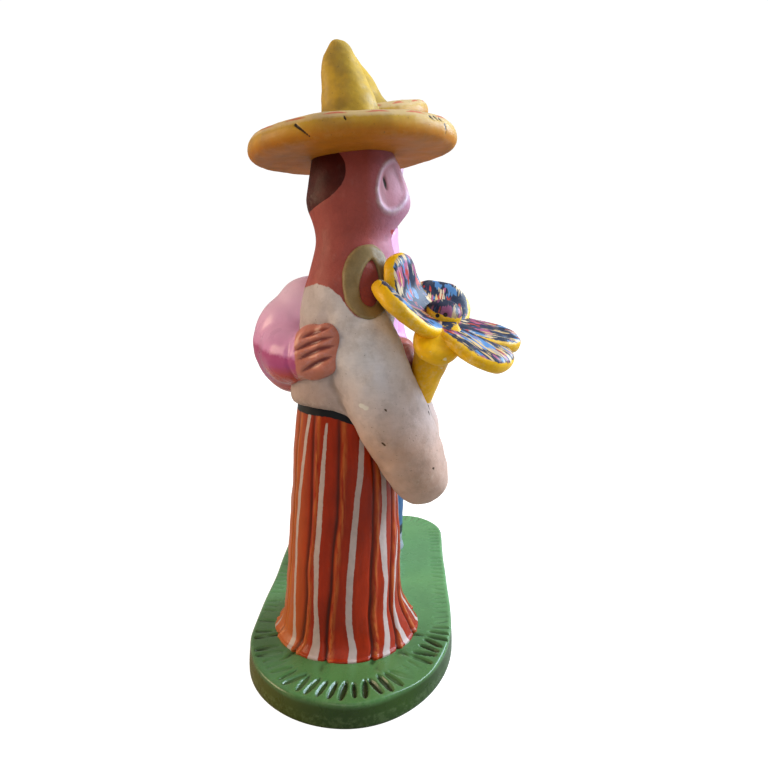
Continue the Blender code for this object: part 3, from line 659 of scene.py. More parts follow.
def pleated_skirt():
    """The skirt, its grooves pressed by a tool, its hem luted to the slab, and its stripes."""
    columns = 460
    smooth = curve_through(SKIRT_STATIONS, 12)
    angles = 2.0 * math.pi * np.arange(columns) / columns - math.pi
    degrees = np.degrees(angles)
    heights = smooth[:, 0]
    grid_angle, grid_height = np.meshgrid(degrees, heights)
    low = np.clip(grid_height, 0.0, 95.0)
    radius = np.interp(grid_height, heights, 0.5 * (smooth[:, 2] + smooth[:, 3]))
    nearest = np.full(grid_angle.shape, NOWHERE)
    far_grooves = [[(0, angle), (30, angle + 2), (60, angle - 1), (90, angle)] for angle in FAR_GROOVES]
    for path in GROOVES + far_grooves:
        hs, degs = np.array(path, float).T
        offset = (grid_angle - np.interp(low, hs, degs) + 180.0) % 360.0 - 180.0
        offset = np.radians(offset) * radius
        closer = np.abs(offset) < np.abs(nearest)
        nearest[closer] = offset[closer]
    stripe = np.full(grid_angle.shape, -NOWHERE)
    far_bands = [
        [(0, angle, 3.2), (12, angle + 1, 2.1), (50, angle - 2, 2.4), (86 + angle % 5, angle, 1.5)]
        for angle in FAR_STRIPES
    ]
    for path in STRIPES + far_bands:
        hs, degs, wides = np.array(path, float).T
        offset = (grid_angle - np.interp(low, hs, degs) + 180.0) % 360.0 - 180.0
        edge = 0.5 * np.interp(low, hs, wides) - np.abs(np.radians(offset) * radius)
        stripe = np.maximum(stripe, np.minimum(edge, 0.8 * (hs[-1] - grid_height)))
    fade = 1.0 - low / 95.0
    depth = 0.28 + 0.50 * fade + 0.20 * np.clip(1.0 - low / 9.0, 0.0, 1.0)
    pressed = depth * np.exp(-((nearest / (0.58 + 0.16 * fade)) ** 2))
    pressed -= (0.18 + 0.22 * fade) * np.exp(-(((nearest - RIDGE_BESIDE) / 0.7) ** 2))
    billow = 0.40 * fade * np.exp(-((nearest / 3.6) ** 2))
    pressed = (pressed + billow) * np.clip((93.0 - grid_height) / 8.0, 0.0, 1.0)
    rings = []
    for row, (height, back, half_width, half_depth) in enumerate(smooth):
        x = (half_width - pressed[row]) * np.sin(angles)
        y = back - (half_depth - pressed[row]) * np.cos(angles)
        rings.append(np.stack([x, y, np.full(columns, height)], axis=1) + WOMAN_AT)
    skirt = piece("pleated_skirt", *skin(rings))
    ends = np.zeros(2)
    field(skirt, "groove", np.concatenate([nearest.ravel(), ends + NOWHERE]))
    field(skirt, "stripe", np.concatenate([stripe.ravel(), ends - NOWHERE]))
    spots = points_of(skirt) - WOMAN_AT
    field(skirt, "belt", spots[:, 2] - waist_line(spots[:, 1]) + BELT_WIDTH)
    carve(skirt, 0.10 * uneven(spots, 9.0, 11) + 0.12 * uneven(spots, 22.0, 12))
    hollows_and_edges(skirt)
    return skirt


def waist_line(y):
    """The height of the blouse's lower edge, which dips towards the front."""
    return WAIST_HEIGHT - WAIST_DIP * step_between(-y, -9.0, 10.0)


def face_fields(lump, at, middle_height, hair, skin_edge, mouth_height):
    """Press the thumb hollows and eyes of a face, and keep where its paints begin."""
    spots = points_of(lump) - at
    x, y, z = spots.T
    oval = np.hypot((y + 16.0 + 0.14 * (z - middle_height)) / 5.2, (z - middle_height) / 8.8)
    ridge = step_between(np.abs(x), 2.0, 7.0)
    front = step_between(-y, 6.0, 9.0)
    sunk = 2.2 * np.clip(1.0 - oval ** 2, 0.0, 1.0) ** 0.6 * front
    sunk -= 0.34 * np.exp(-(((oval - 1.10) / 0.10) ** 2)) * front
    # The thumb presses inwards and a little back, along one direction on each side.
    push = np.stack([-np.sign(x) * 0.94, np.full(len(x), 0.34), np.zeros(len(x))], axis=1)
    set_points(lump, points_of(lump) + push * (sunk * ridge)[:, None])
    # The rim round each thumb hollow is kept for a painted highlight.
    field(lump, "rim", np.where(front > 0.5, 0.10 - np.abs(oval - 1.06), -1.0) * 5.0)
    field(lump, "thumbed", np.where(front > 0.5, 1.0 - oval, -1.0) * 5.0)
    slit = np.stack([y, z], axis=1)
    away, share = along_path(slit, [(-12.9, middle_height + 2.2), (-13.9, middle_height - 1.4)])
    away = np.where((front > 0.5) & (z > 100.0), away, NOWHERE)
    field(lump, "eye", 0.46 * np.sin(math.pi * (0.12 + 0.76 * share)) - away)
    carve(lump, 0.55 * np.exp(-((away / 0.45) ** 2)))
    hair_y, hair_z = curve_through(hair, 8).T
    hair_edge = y - np.interp(z, hair_z, hair_y)
    field(lump, "hair", np.minimum(hair_edge, (z - hair_z[0])))
    edge_y, edge_z = np.array(skin_edge, float).T
    field(lump, "bare", z - np.interp(y, edge_y, edge_z))
    smile = z - mouth_height - 0.03 * x * x
    mouth = 1.0 - np.hypot(x / 5.2, smile / 0.95)
    field(lump, "mouth", np.where(y < -8.0, mouth, -1.0))


def blouse_and_head():
    """The near figure's upper body: blouse, sleeves, the hands on the stem, neck and head."""
    at = WOMAN_AT
    torso = body_skin(BLOUSE_STATIONS + WOMAN_HEAD_STATIONS, 96, 6, at)
    points = torso[0]
    low = 1.0 - step_between(points[:, 2] - at[2], 95.0, 112.0)
    points[:, 2] -= (WAIST_HEIGHT - waist_line(points[:, 1] - at[1])) * low
    right_sleeve = [(-10.0, 0.6, 132.0, 10.8), (-13.6, -4.0, 119.0, 13.2), (-15.4, -8.8, 106.0, 14.1),
                    (-16.0, -17.2, 87.5, 13.6), (-14.8, -23.8, 74.0, 12.0), (-12.8, -25.6, 68.2, 11.0)]
    right_forearm = [(-12.0, -25.0, 74.0, 9.0), (-6.0, -24.0, 90.0, 8.0), (-2.5, -20.5, 103.0, 6.8)]
    left_sleeve = [(9.5, -0.5, 132.0, 10.0), (13.0, -5.5, 114.0, 10.6), (12.5, -13.0, 96.0, 9.4)]
    left_forearm = [(12.5, -13.5, 96.5, 9.0), (7.5, -18.0, 99.0, 7.6), (3.0, -20.0, 104.0, 6.4)]
    parts = [torso]
    for rows in (right_sleeve, right_forearm, left_sleeve, left_forearm):
        parts.append(limb_skin(shifted(rows, at), 48, 8))
    grip = np.array([-1.0, -19.6, 108.5])
    parts.append(ball_skin(grip + at, (8.0, 5.8, 8.6)))
    lump = pressed_lump("blouse_and_head", parts, 0.72, 8)
    hair = [
        (15.0, 164.8), (11.0, 167.0), (6.3, 169.6), (2.6, 172.9), (0.9, 176.2), (0.7, 179.4), (1.9, 182.6),
        (5.4, 186.5)
    ]
    skin_edge = [
        (-30.0, 129.0), (-4.0, 130.5), (0.0, 132.0), (2.6, 135.7), (6.6, 138.6), (11.3, 139.6),
        (17.3, 138.0), (24.0, 137.0)
    ]
    face_fields(lump, at, 174.0, hair, skin_edge, 157.6)
    spots = points_of(lump) - at
    outside = (spots[:, 0] < -6.0) & (normals_of(lump)[:, 0] < -0.2)
    nicks = np.full(len(spots), NOWHERE)
    for path in (((0, -12.4, 85.4), (0, -13.3, 84.6)), ((0, -28.7, 94.8), (0, -29.1, 93.6)),
                 ((0, -13.5, 97.6), (0, -13.8, 97.2)), ((0, -30.4, 75.2), (0, -30.6, 75.0))):
        nicks = np.minimum(nicks, along_path(spots * [0.0, 1.0, 1.0], path)[0])
    nicks = np.where(outside, nicks, NOWHERE)
    field(lump, "nick", 0.42 - nicks)
    chips = np.full(len(spots), NOWHERE)
    for spot in ((-27.6, -6.6, 97.9), (-27.6, -5.2, 98.6)):
        chips = np.minimum(chips, np.linalg.norm((spots - spot) * [0.3, 1.0, 1.3], axis=1))
    field(lump, "chip", 1.15 - chips)
    collar_y, collar_z = np.array(COLLAR_OUTER).T
    recess = np.hypot(
        (spots[:, 1] - collar_y.mean()) / (0.45 * np.ptp(collar_y)),
        (spots[:, 2] - collar_z.mean()) / (0.47 * np.ptp(collar_z))
    )
    field(lump, "recess", np.where(np.abs(spots[:, 0]) > 9.0, (1.0 - recess) * 7.0, -5.0))
    # A burr stands where the other figure's hand was pressed in.
    burr = curve_through(
        [(-21, 4.2, 126.2), (-21, 1.7, 122.4), (-21, 1.7, 119.2), (-20, 3.6, 114.6), (-19, 6.4, 108.0)], 6
    )
    away, share = along_path(spots * [0.35, 1.0, 1.0], burr * [0.35, 1.0, 1.0])
    raised = np.where(
        spots[:, 0] < -12.0, np.exp(-((away / 0.85) ** 2)) * np.sin(math.pi * (0.1 + 0.8 * share)), 0.0
    )
    field(lump, "burr", raised)
    hold = 1.0 - np.linalg.norm((spots - grip) / [9.4, 7.2, 9.8], axis=1)
    field(lump, "hands", 8.0 * hold)
    body_only = step_between(-spots[:, 2], -158.0, -150.0)
    lumps = 0.30 * uneven(spots, 19.0, 21) + 0.16 * uneven(spots, 8.0, 22) + 0.06 * uneven(spots, 3.6, 23)
    carve(lump, lumps * (0.35 + 0.65 * body_only) - 0.75 * raised)
    hollows_and_edges(lump)
    return lump


def collar_bands(blouse):
    """The raised, flattened collar edge on each side of the neck."""
    outer = curve_through(COLLAR_OUTER, 6, closed=True)
    inner = curve_through(COLLAR_INNER, 6, closed=True)
    tree = BVHTree.FromObject(blouse, bpy.context.evaluated_depsgraph_get())
    parts = []
    for side in (-1.0, 1.0):
        rings = []
        for edge, middle in zip(outer, inner):
            row = []
            for share in np.linspace(0.0, 1.0, 13):
                y, z = edge + (middle - edge) * share
                start = Vector(
                    ((side * 60.0 + WOMAN_AT[0]) * MM, (y + WOMAN_AT[1]) * MM, (z + WOMAN_AT[2]) * MM)
                )
                hit = tree.ray_cast(start, Vector((-side, 0.0, 0.0)))[0]
                out = np.array([side * 0.85, -0.25, 0.1])
                lift = 1.7 * (1.0 - abs(2.0 * share - 1.0) ** 5.0) ** 0.5
                row.append(np.array(hit) / MM + out * (lift - 0.1))
            under = [row[k] - np.array([side * 2.2, 0.0, 0.0]) for k in (11, 8, 4, 1)]
            rings.append(row + under)
        parts.append(ring_skin(rings))
    band = piece("collar_bands", *together(parts))
    set_points(band, 0.5 * (points_of(band) + averaged(band, points_of(band), 1)))
    carve(band, 0.16 * uneven(points_of(band), 6.0, 31))
    hollows_and_edges(band, 4)
    return band


def hat_lump(name, at, middle, brim_width, girth, rise, back_tilt, side_lean, seed, cracked):
    """A sombrero: a dished brim with a rolled rim and a tall pinched crown.

    Girth and rise are the crown's against the near hat's; its tilt and lean are in degrees.
    """
    radius = brim_width / 2.0
    profile = [
        (0.30 * radius, 0.0, 0.0), (0.55 * radius, -0.3, 0.0), (0.80 * radius, -0.4, 0.0),
        (radius - 0.30 * RIM_HEIGHT, 0.2, 0.0), (radius - 0.06 * RIM_HEIGHT, 0.22 * RIM_HEIGHT, 0.0),
        (radius, 0.50 * RIM_HEIGHT, 0.0), (radius - 0.10 * RIM_HEIGHT, 0.80 * RIM_HEIGHT, 0.0),
        (radius - 0.38 * RIM_HEIGHT, RIM_HEIGHT, 0.0), (radius - 0.85 * RIM_HEIGHT, RIM_HEIGHT - 1.0, 0.0),
        (0.62 * radius, BRIM_THICKNESS + 0.8, 0.0),
    ]
    for height, back, crown_radius in CROWN_STATIONS:
        profile.append((crown_radius * girth, height * rise, back))
    columns = round(5.6 * brim_width)
    steps = 7
    smooth = curve_through(profile, steps)
    turns = 2.0 * math.pi * np.arange(columns) / columns
    tilt = math.radians(-back_tilt)
    lean = math.radians(side_lean)
    about_x = np.array(
        [[1, 0, 0], [0, math.cos(tilt), -math.sin(tilt)], [0, math.sin(tilt), math.cos(tilt)]]
    )
    about_y = np.array(
        [[math.cos(lean), 0, math.sin(lean)], [0, 1, 0], [-math.sin(lean), 0, math.cos(lean)]]
    )
    rings = []
    crest = []
    for row, (ring_radius, height, back) in enumerate(smooth):
        crown = min(max((height - 11.0) / 14.0, 0.0), 1.0) if row > 10 * steps else 0.0
        flattened = 0.07 * (1.0 + np.cos(2.0 * (turns - 0.2))) * 0.5
        wide = ring_radius * (1.0 - crown * flattened + crown * 0.035 * np.cos(3.0 * turns + 0.9))
        rings.append(
            np.stack([wide * np.cos(turns), back + wide * np.sin(turns), np.full(columns, height)], axis=1)
        )
        crest.append(np.full(columns, row / steps))
    points, faces = skin(rings)
    local = points.copy()
    points = points @ (about_y @ about_x).T + (np.array(middle) + at)
    hat = piece(name, points, faces)
    profile_row = np.concatenate([np.concatenate(crest), [0.0, 18.0]])
    turn = np.arctan2(local[:, 1], local[:, 0])
    # Row 7 of the profile is the crest of the rim, and its rows there are about 2.5 mm apart.
    inward = (profile_row - 6.4) * 2.5
    field(hat, "band", 1.0 - np.abs(inward - 0.2) / 1.9)
    arcs = np.abs(np.sin(turn * 8.5 + 0.5))
    field(hat, "swag", (arcs - 0.55) * 1.3 - np.abs(inward + 0.9 - 0.9 * arcs) * 1.3)
    field(hat, "under", 4.9 - profile_row)
    cracks = np.full(len(local), NOWHERE)
    on_rim = np.stack([turn * radius, local[:, 2]], axis=1)
    for path in RIM_CRACKS if cracked else ():
        line = [(math.atan2(y, x) * radius, z) for x, y, z in path]
        away, share = along_path(on_rim, line)
        cracks = np.minimum(cracks, away + 0.30 * share)
    cracks = np.where((profile_row > 3.5) & (profile_row < 9.5), cracks, NOWHERE)
    field(hat, "crack", 0.50 - cracks)
    swells = 0.32 * uneven(local, 21.0, seed) + 0.14 * uneven(local, 8.5, seed + 1)
    swells += 0.05 * uneven(local, 3.4, seed + 2)
    on_crown = step_between(local[:, 2], 9.0, 14.0)
    carve(hat, swells * (0.55 + 0.7 * on_crown) + 0.1 + 0.5 * np.exp(-((cracks / 0.4) ** 2)))
    hollows_and_edges(hat)
    return hat


def flower_lump():
    """The big flower: a tapering stem, six thick petals and a button, and where its strokes of paint go."""
    at = WOMAN_AT
    heart = np.array(FLOWER_MIDDLE) + at
    lean_near, lean_front = np.radians(FLOWER_LEANS)
    facing = np.array([-math.sin(lean_near), -math.sin(lean_front), 1.0])
    facing /= np.linalg.norm(facing)
    front = np.array([0.0, -1.0, 0.0])
    front -= facing * (front @ facing)
    front /= np.linalg.norm(front)
    beside = np.cross(facing, front)
    half_span = FLOWER_SPAN / 2.0
    parts = []
    stroke = []
    top = []
    columns = 56
    rows = 46
    turns = 2.0 * math.pi * np.arange(columns) / columns
    run = np.sign(np.cos(turns)) * np.abs(np.cos(turns)) ** (2.0 / 2.5)
    rise = np.sign(np.sin(turns)) * np.abs(np.sin(turns)) ** (2.0 / 2.5)
    half_thickness = PETAL_THICKNESS / 2.0
    for number, (turn, reach, half_width, bend, twist, lift) in enumerate(PETALS):
        angle = math.radians(turn)
        along = front * math.cos(angle) + beside * math.sin(angle)
        length = reach * half_span
        wide = half_width * half_span
        shares = np.sin(0.5 * math.pi * np.linspace(0.0, 1.0, rows)) ** 0.9
        place = heart + facing * lift
        before = 0.0
        rings = []
        for share in shares:
            slope = math.radians(bend) * min(1.0, 1.5 * share)
            ahead = along * math.cos(slope) + facing * math.sin(slope)
            up = facing * math.cos(slope) - along * math.sin(slope)
            across = np.cross(ahead, up)
            straight, twisted = math.cos(math.radians(twist)), math.sin(math.radians(twist))
            across, up = across * straight + up * twisted, up * straight - across * twisted
            place = place + ahead * (share - before) * length
            before = share
            if share > 0.55:
                half = wide * max(0.0, 1.0 - ((share - 0.55) / 0.45) ** 2.3) ** (1.0 / 2.3)
            else:
                half = wide * (0.58 + 0.42 * math.sin(0.5 * math.pi * share / 0.55))
            thick = half_thickness * (
                max(0.0, 1.0 - ((share - 0.72) / 0.28) ** 4) ** 0.4 if share > 0.72 else 1.0
            )
            half = max(half, 0.05)
            thick = max(thick, 0.05)
            dish = np.where(rise > 0.0, 0.75 * (1.0 - run ** 2) * rise * min(1.0, 4.0 * (1.0 - share)), 0.0)
            rings.append(place + np.outer(run * half, across) + np.outer(rise * thick - dish, up))
            stroke.append(
                np.stack(
                    [run * half, np.full(columns, share * length), np.full(columns, 40.0 * number)], axis=1
                )
            )
            bare_tip = 1.5 * step_between(np.full(columns, share), 0.93, 1.0)
            bare_tip += 3.2 * share if number == LOW_PETAL else 0.0
            top.append(rise * 2.2 - 0.9 - 1.6 * np.clip(np.abs(run) - 0.82, 0, 1) / 0.18 - bare_tip)
        parts.append(skin(rings))
        stroke.append(np.zeros((2, 3)) + [0.0, 0.0, 40.0 * number])
        top.append(np.full(2, -2.0))
    stem = [(*(heart - facing * 2.0), 7.6)]
    stem += shifted([(-10.0, -28.6, 109.0, 6.2), (-6.6, -25.4, 95.0, 3.9), (-3.6, -22.6, 88.0, 3.2)], at)
    stem_skin = limb_skin(stem, 48, 9)
    parts.append(stem_skin)
    stroke.append(np.zeros((len(stem_skin[0]), 3)))
    top.append(np.full(len(stem_skin[0]), -2.0))
    button_at = heart + facing * (half_thickness + 0.4) + beside * 0.8
    points, faces = ball_skin(np.zeros(3), BUTTON_RADII, 64, 40)
    parts.append((points @ np.stack([front, beside, facing]) + button_at, faces))
    stroke.append(points * [1.0, 1.0, 0.0] + [0.0, 0.0, 300.0])
    top.append(points[:, 2] * 1.1 - 1.4)
    flower = piece("big_flower", *together(parts))
    strokes = np.vstack(stroke)
    layer = flower.data.attributes.new("stroke", "FLOAT_VECTOR", "POINT")
    layer.data.foreach_set("vector", strokes.astype(np.float32).ravel())
    field(flower, "top", np.concatenate(top))
    field(flower, "button", np.where(strokes[:, 2] > 290.0, 1.0, -1.0))
    spots = points_of(flower)
    holes = np.full(len(spots), NOWHERE)
    for side, depth in ((-0.42, 0.10), (-0.02, 0.22)):
        direction = front * side * 0.9 - beside * (0.92 - depth) + facing * (-0.02 + depth)
        direction /= np.linalg.norm(direction)
        holes = np.minimum(holes, np.linalg.norm(spots - (button_at + direction * 6.3), axis=1))
    field(flower, "hole", 0.85 - holes)
    carve(
        flower,
        0.22 * uneven(spots, 12.0, 41) + 0.10 * uneven(spots, 5.0, 42) + 0.6 * np.exp(-((holes / 0.7) ** 2))
    )
    hollows_and_edges(flower, 8)
    return flower


def embracing_arm():
    """The far figure's arm round the near one's back: sleeve, big glossy puff, and the flat hand."""
    at = WOMAN_AT
    sleeve = shifted([(-12.0, 0.5, 147.0, 11.5), (-22.0, 7.0, 139.0, 12.0)], MAN_AT)
    sleeve += shifted([(22.0, 14.5, 126.0, 12.0), (12.0, 19.0, 119.0, 13.0)], at)
    cuff = shifted(
        [
            (6.0, 24.0, 114.5, 14.0), (-4.0, 22.8, 112.6, 11.6), (-11.0, 17.6, 113.4, 9.6),
            (-15.0, 13.0, 115.0, 7.0)
        ],
        at
    )
    puff = ball_skin(np.array([12.0, 21.8, 115.0]) + at, (17.2, 19.4, 21.0), 96, 64)
    puff_top = ball_skin(np.array([12.0, 17.5, 123.0]) + at, (14.5, 16.0, 19.2), 96, 64)
    palm = ball_skin(np.array([-17.0, 12.0, 115.8]) + at, (5.8, 8.8, 10.6), 64, 40, blunt=0.85)
    fingers = ball_skin(np.array([-21.6, 7.2, 117.6]) + at, (4.6, 6.2, 9.8), 64, 40, blunt=0.85)
    parts = [limb_skin(sleeve, 48, 8), puff, puff_top, limb_skin(cuff, 48, 8), palm, fingers]
    arm = pressed_lump("embracing_arm", parts, 0.66, 26)
    spots = points_of(arm) - at
    near = spots[:, 0] < -6.0
    flat = spots[:, 1:]
    grooves = np.zeros(len(spots))
    for path in FINGER_GAPS:
        away, run = along_path(flat, curve_through(path, 6))
        width = 0.25 + 0.85 * np.sin(math.pi * np.clip(run, 0.03, 0.97))
        grooves = np.maximum(
            grooves, np.exp(-((away / width) ** 2)) * np.sin(math.pi * (0.08 + 0.84 * run)) ** 0.7
        )
    grooves = np.where(near & (spots[:, 2] > 100.0), grooves, 0.0)
    from_crease = along_path(flat, curve_through(WRIST_CREASE, 6))[0]
    crease = np.where(near, np.exp(-((from_crease / 0.9) ** 2)), 0.0)
    field(arm, "finger_gap", grooves)
    field(arm, "hand", np.where(near, 18.9 + 0.05 * (spots[:, 2] - 116.0) - spots[:, 1], -5.0))
    field(arm, "low", 114.0 - spots[:, 2] + 0.10 * (spots[:, 1] - 22.0))
    # Painted reflection: low down, and more on the near side, the puff takes an orange-red glow of light
    # from the skirt.
    field(arm, "warm", 101.0 - spots[:, 2] + 7.0 * step_between(-spots[:, 0], -3.0, 8.0))
    carve(
        arm, 0.22 * uneven(spots, 18.0, 51) + 0.08 * uneven(spots, 6.0, 52) + 1.5 * grooves + 0.35 * crease
    )
    hollows_and_edges(arm, 10)
    return arm


# Far figure


def shirt_and_head():
    """The far figure's upper body: shirt, left arm held to the belt, neck and head."""
    at = MAN_AT
    parts = [body_skin(SHIRT_STATIONS + MAN_HEAD_STATIONS, 96, 5, at)]
    for rows in ([(12.0, 0.0, 150.0, 11.0), (18.0, -3.0, 133.0, 12.0), (19.5, -10.0, 104.0, 10.6)],
                 [(19.0, -10.5, 104.0, 10.0), (11.0, -16.5, 101.0, 8.6), (4.0, -18.5, 104.0, 6.8)]):
        parts.append(limb_skin(shifted(rows, at), 48, 8))
    grip = np.array([-1.0, -18.6, 105.0])
    parts.append(ball_skin(grip + at, (7.0, 4.6, 6.6)))
    lump = pressed_lump("shirt_and_head", parts, 0.85, 12)
    hair = [
        (15.0, 184.0), (11.0, 186.2), (6.3, 188.6), (2.3, 192.0), (0.9, 195.5), (0.9, 199.0), (3.0, 204.0)
    ]
    face_fields(lump, at, 194.0, hair, [(-30.0, 158.0), (-8.0, 163.0), (24.0, 166.0)], 176.4)
    spots = points_of(lump) - at
    hold = 1.0 - np.linalg.norm((spots - grip) / [8.0, 5.8, 7.6], axis=1)
    field(lump, "hands", 8.0 * hold)
    field(lump, "waist", 87.6 - spots[:, 2])
    field(lump, "seat", 83.0 - spots[:, 2])
    # The shared paint also looks for the near figure's chips, nicks and collar, which aren't here.
    for name in ("chip", "nick", "recess"):
        field(lump, name, np.full(len(spots), -5.0))
    placket = np.minimum(3.0 - np.abs(spots[:, 0] + 0.5), 158.0 - spots[:, 2])
    field(lump, "front", np.where((spots[:, 1] < 0.0) & (hold < 0.0), placket, -5.0))
    carve(lump, 0.30 * uneven(spots, 19.0, 61) + 0.14 * uneven(spots, 8.0, 62))
    hollows_and_edges(lump)
    return lump


def trousers_and_shoes():
    """Two trouser legs over shoes, pressed onto the slab."""
    parts = []
    for side, forward in ((-1.0, 0.0), (1.0, 2.4)):
        parts.append(body_skin(TROUSER_STATIONS, 72, 6, MAN_AT + [side * 10.0, -forward, 0.0]))
        parts.append(ball_skin(np.array([side * 10.4, -5.6 - forward, 0.0]) + MAN_AT, (8.2, 12.0, 7.8)))
    legs = pressed_lump("trousers_and_shoes", parts, 0.85, 8)
    spots = points_of(legs) - MAN_AT
    field(legs, "cuff", 2.2 - np.abs(spots[:, 2] - 11.0))
    field(legs, "shoe", np.minimum(8.6 - spots[:, 2], -14.0 - spots[:, 1]))
    carve(legs, 0.22 * uneven(spots, 16.0, 71) + 0.10 * uneven(spots, 6.0, 72))
    hollows_and_edges(legs)
    return legs


# Paint


def add(tree, kind, inputs=None, **settings):
    """One node with its settings, and its inputs by name or number as values or other outputs."""
    made = tree.nodes.new(kind)
    for key, value in settings.items():
        setattr(made, key, value)
    for socket, value in (inputs or {}).items():
        if isinstance(value, bpy.types.NodeSocket):
            tree.links.new(value, made.inputs[socket])
        else:
            made.inputs[socket].default_value = value
    return made


def mottled(tree, place, colour, size, dark, light):
    """The colour, brushed darker and lighter in patches of about size millimetres."""
    noise = add(
        tree, "ShaderNodeTexNoise", {"Vector": place, "Scale": 1.0 / size, "Detail": 4.0, "Roughness": 0.6}
    )
    level = add(tree, "ShaderNodeMapRange", {
        "Value": noise.outputs["Fac"], "From Min": 0.3, "From Max": 0.7, "To Min": dark, "To Max": light,
    })
    base = linear(colour)[:3] if isinstance(colour, str) else colour
    return add(
        tree, "ShaderNodeVectorMath", {0: base, "Scale": level.outputs[0]}, operation="SCALE"
    ).outputs[0]


def edge_of(tree, place, name, shake, blur):
    """1 where the kept field called name is above zero, with a hand-drawn edge."""
    kept = add(tree, "ShaderNodeAttribute", attribute_name=name).outputs["Fac"]
    noise = add(tree, "ShaderNodeTexNoise", {"Vector": place, "Scale": 0.7, "Detail": 2.0}).outputs["Fac"]
    moved = add(
        tree, "ShaderNodeMath", {0: noise, 1: 2.0 * shake, 2: -shake}, operation="MULTIPLY_ADD"
    ).outputs[0]
    total = add(tree, "ShaderNodeMath", {0: kept, 1: moved}, operation="ADD").outputs[0]
    return add(tree, "ShaderNodeMapRange", {"Value": total, "From Min": -blur, "From Max": blur}).outputs[0]


def specks(tree, place, size, rarity):
    """1 in small scattered spots about size millimetres across; rarity is the noise level they need."""
    noise = add(
        tree, "ShaderNodeTexNoise", {"Vector": place, "Scale": 1.0 / size, "Detail": 1.0}
    ).outputs["Fac"]
    return add(
        tree, "ShaderNodeMapRange", {"Value": noise, "From Min": rarity, "From Max": rarity + 0.05}
    ).outputs[0]


def laid(tree, mask, under, over, strength=1.0):
    """One colour laid over another where the mask is 1; strength, a number or a mask, thins it."""
    if strength != 1.0:
        mask = add(tree, "ShaderNodeMath", {0: mask, 1: strength}, operation="MULTIPLY").outputs[0]
    over = linear(over) if isinstance(over, str) else over
    return add(tree, "ShaderNodeMix", {0: mask, 6: under, 7: over}, data_type="RGBA").outputs[2]


def graded(tree, value, start, full, most, under, over, strength=1.0):
    """One colour laid over another, from not at all where the value is start to most where it is full."""
    share = add(
        tree, "ShaderNodeMapRange", {"Value": value, "From Min": start, "From Max": full, "To Max": most}
    ).outputs[0]
    return laid(tree, share, under, over, strength)


def coats(tree, place, colour, rows):
    """The colour with a coat laid on each kept field: its name, shake, blur, strength and colour."""
    for name, shake, blur, strength, over in rows:
        colour = laid(tree, edge_of(tree, place, name, shake, blur), colour, over, strength)
    return colour


def new_paint(name):
    """An empty paint: the material, its tree, and the place on the object in millimetres."""
    material = bpy.data.materials.new(name)
    material.use_nodes = True
    tree = material.node_tree
    tree.nodes.clear()
    where = add(tree, "ShaderNodeTexCoord").outputs["Object"]
    place = add(tree, "ShaderNodeMapping", {"Vector": where, "Scale": (1.0 / MM,) * 3}).outputs[0]
    return material, tree, place


def finish_paint(tree, place, colour, roughness, coat, grain, relief, hollow_dirt_and_shade, wear=None):
    """Dirt and painted shade in the hollows, paint worn thin on the edges, fine grain, and the satin of the
    paint.

    Grain and relief are in millimetres; the hollows' darkening and the wear are each an amount and a colour.
    """
    depth = add(tree, "ShaderNodeAttribute", attribute_name="hollow").outputs["Fac"]
    # The hollows are painted darker: partly grime, partly painted shade.
    colour = graded(tree, depth, 0.03, 0.34, hollow_dirt_and_shade[0], colour, hollow_dirt_and_shade[1])
    if wear:
        patchy = add(
            tree, "ShaderNodeTexNoise", {"Vector": place, "Scale": 0.55, "Detail": 5.0, "Roughness": 0.7}
        ).outputs["Fac"]
        patchy = add(
            tree, "ShaderNodeMapRange",
            {"Value": patchy, "From Min": 0.46, "From Max": 0.60, "To Max": wear[0]}
        ).outputs[0]
        colour = graded(tree, depth, -0.10, -0.42, 1.0, colour, wear[1], patchy)
    streaky = add(
        tree, "ShaderNodeTexNoise", {"Vector": place, "Scale": 0.16, "Detail": 3.0}
    ).outputs["Fac"]
    rough = add(tree, "ShaderNodeMapRange", {
        "Value": streaky, "From Min": 0.3, "From Max": 0.7,
        "To Min": roughness - 0.07, "To Max": roughness + 0.09,
    }).outputs[0]
    fine = add(
        tree, "ShaderNodeTexNoise",
        {"Vector": place, "Scale": 1.0 / grain, "Detail": 4.0, "Roughness": 0.62}
    ).outputs["Fac"]
    broad = add(tree, "ShaderNodeTexNoise", {"Vector": place, "Scale": 0.28, "Detail": 2.0}).outputs["Fac"]
    height = add(tree, "ShaderNodeMath", {0: broad, 1: 2.2, 2: fine}, operation="MULTIPLY_ADD").outputs[0]
    bump = add(
        tree, "ShaderNodeBump", {"Height": height, "Strength": 1.0, "Distance": relief * MM}
    ).outputs[0]
    shader = add(tree, "ShaderNodeBsdfPrincipled", {
        "Base Color": colour, "Roughness": rough, "IOR": 1.5, "Specular IOR Level": 0.18,
        "Coat Weight": coat, "Coat Roughness": 0.18, "Normal": bump,
    }).outputs[0]
    add(tree, "ShaderNodeOutputMaterial", {"Surface": shader})


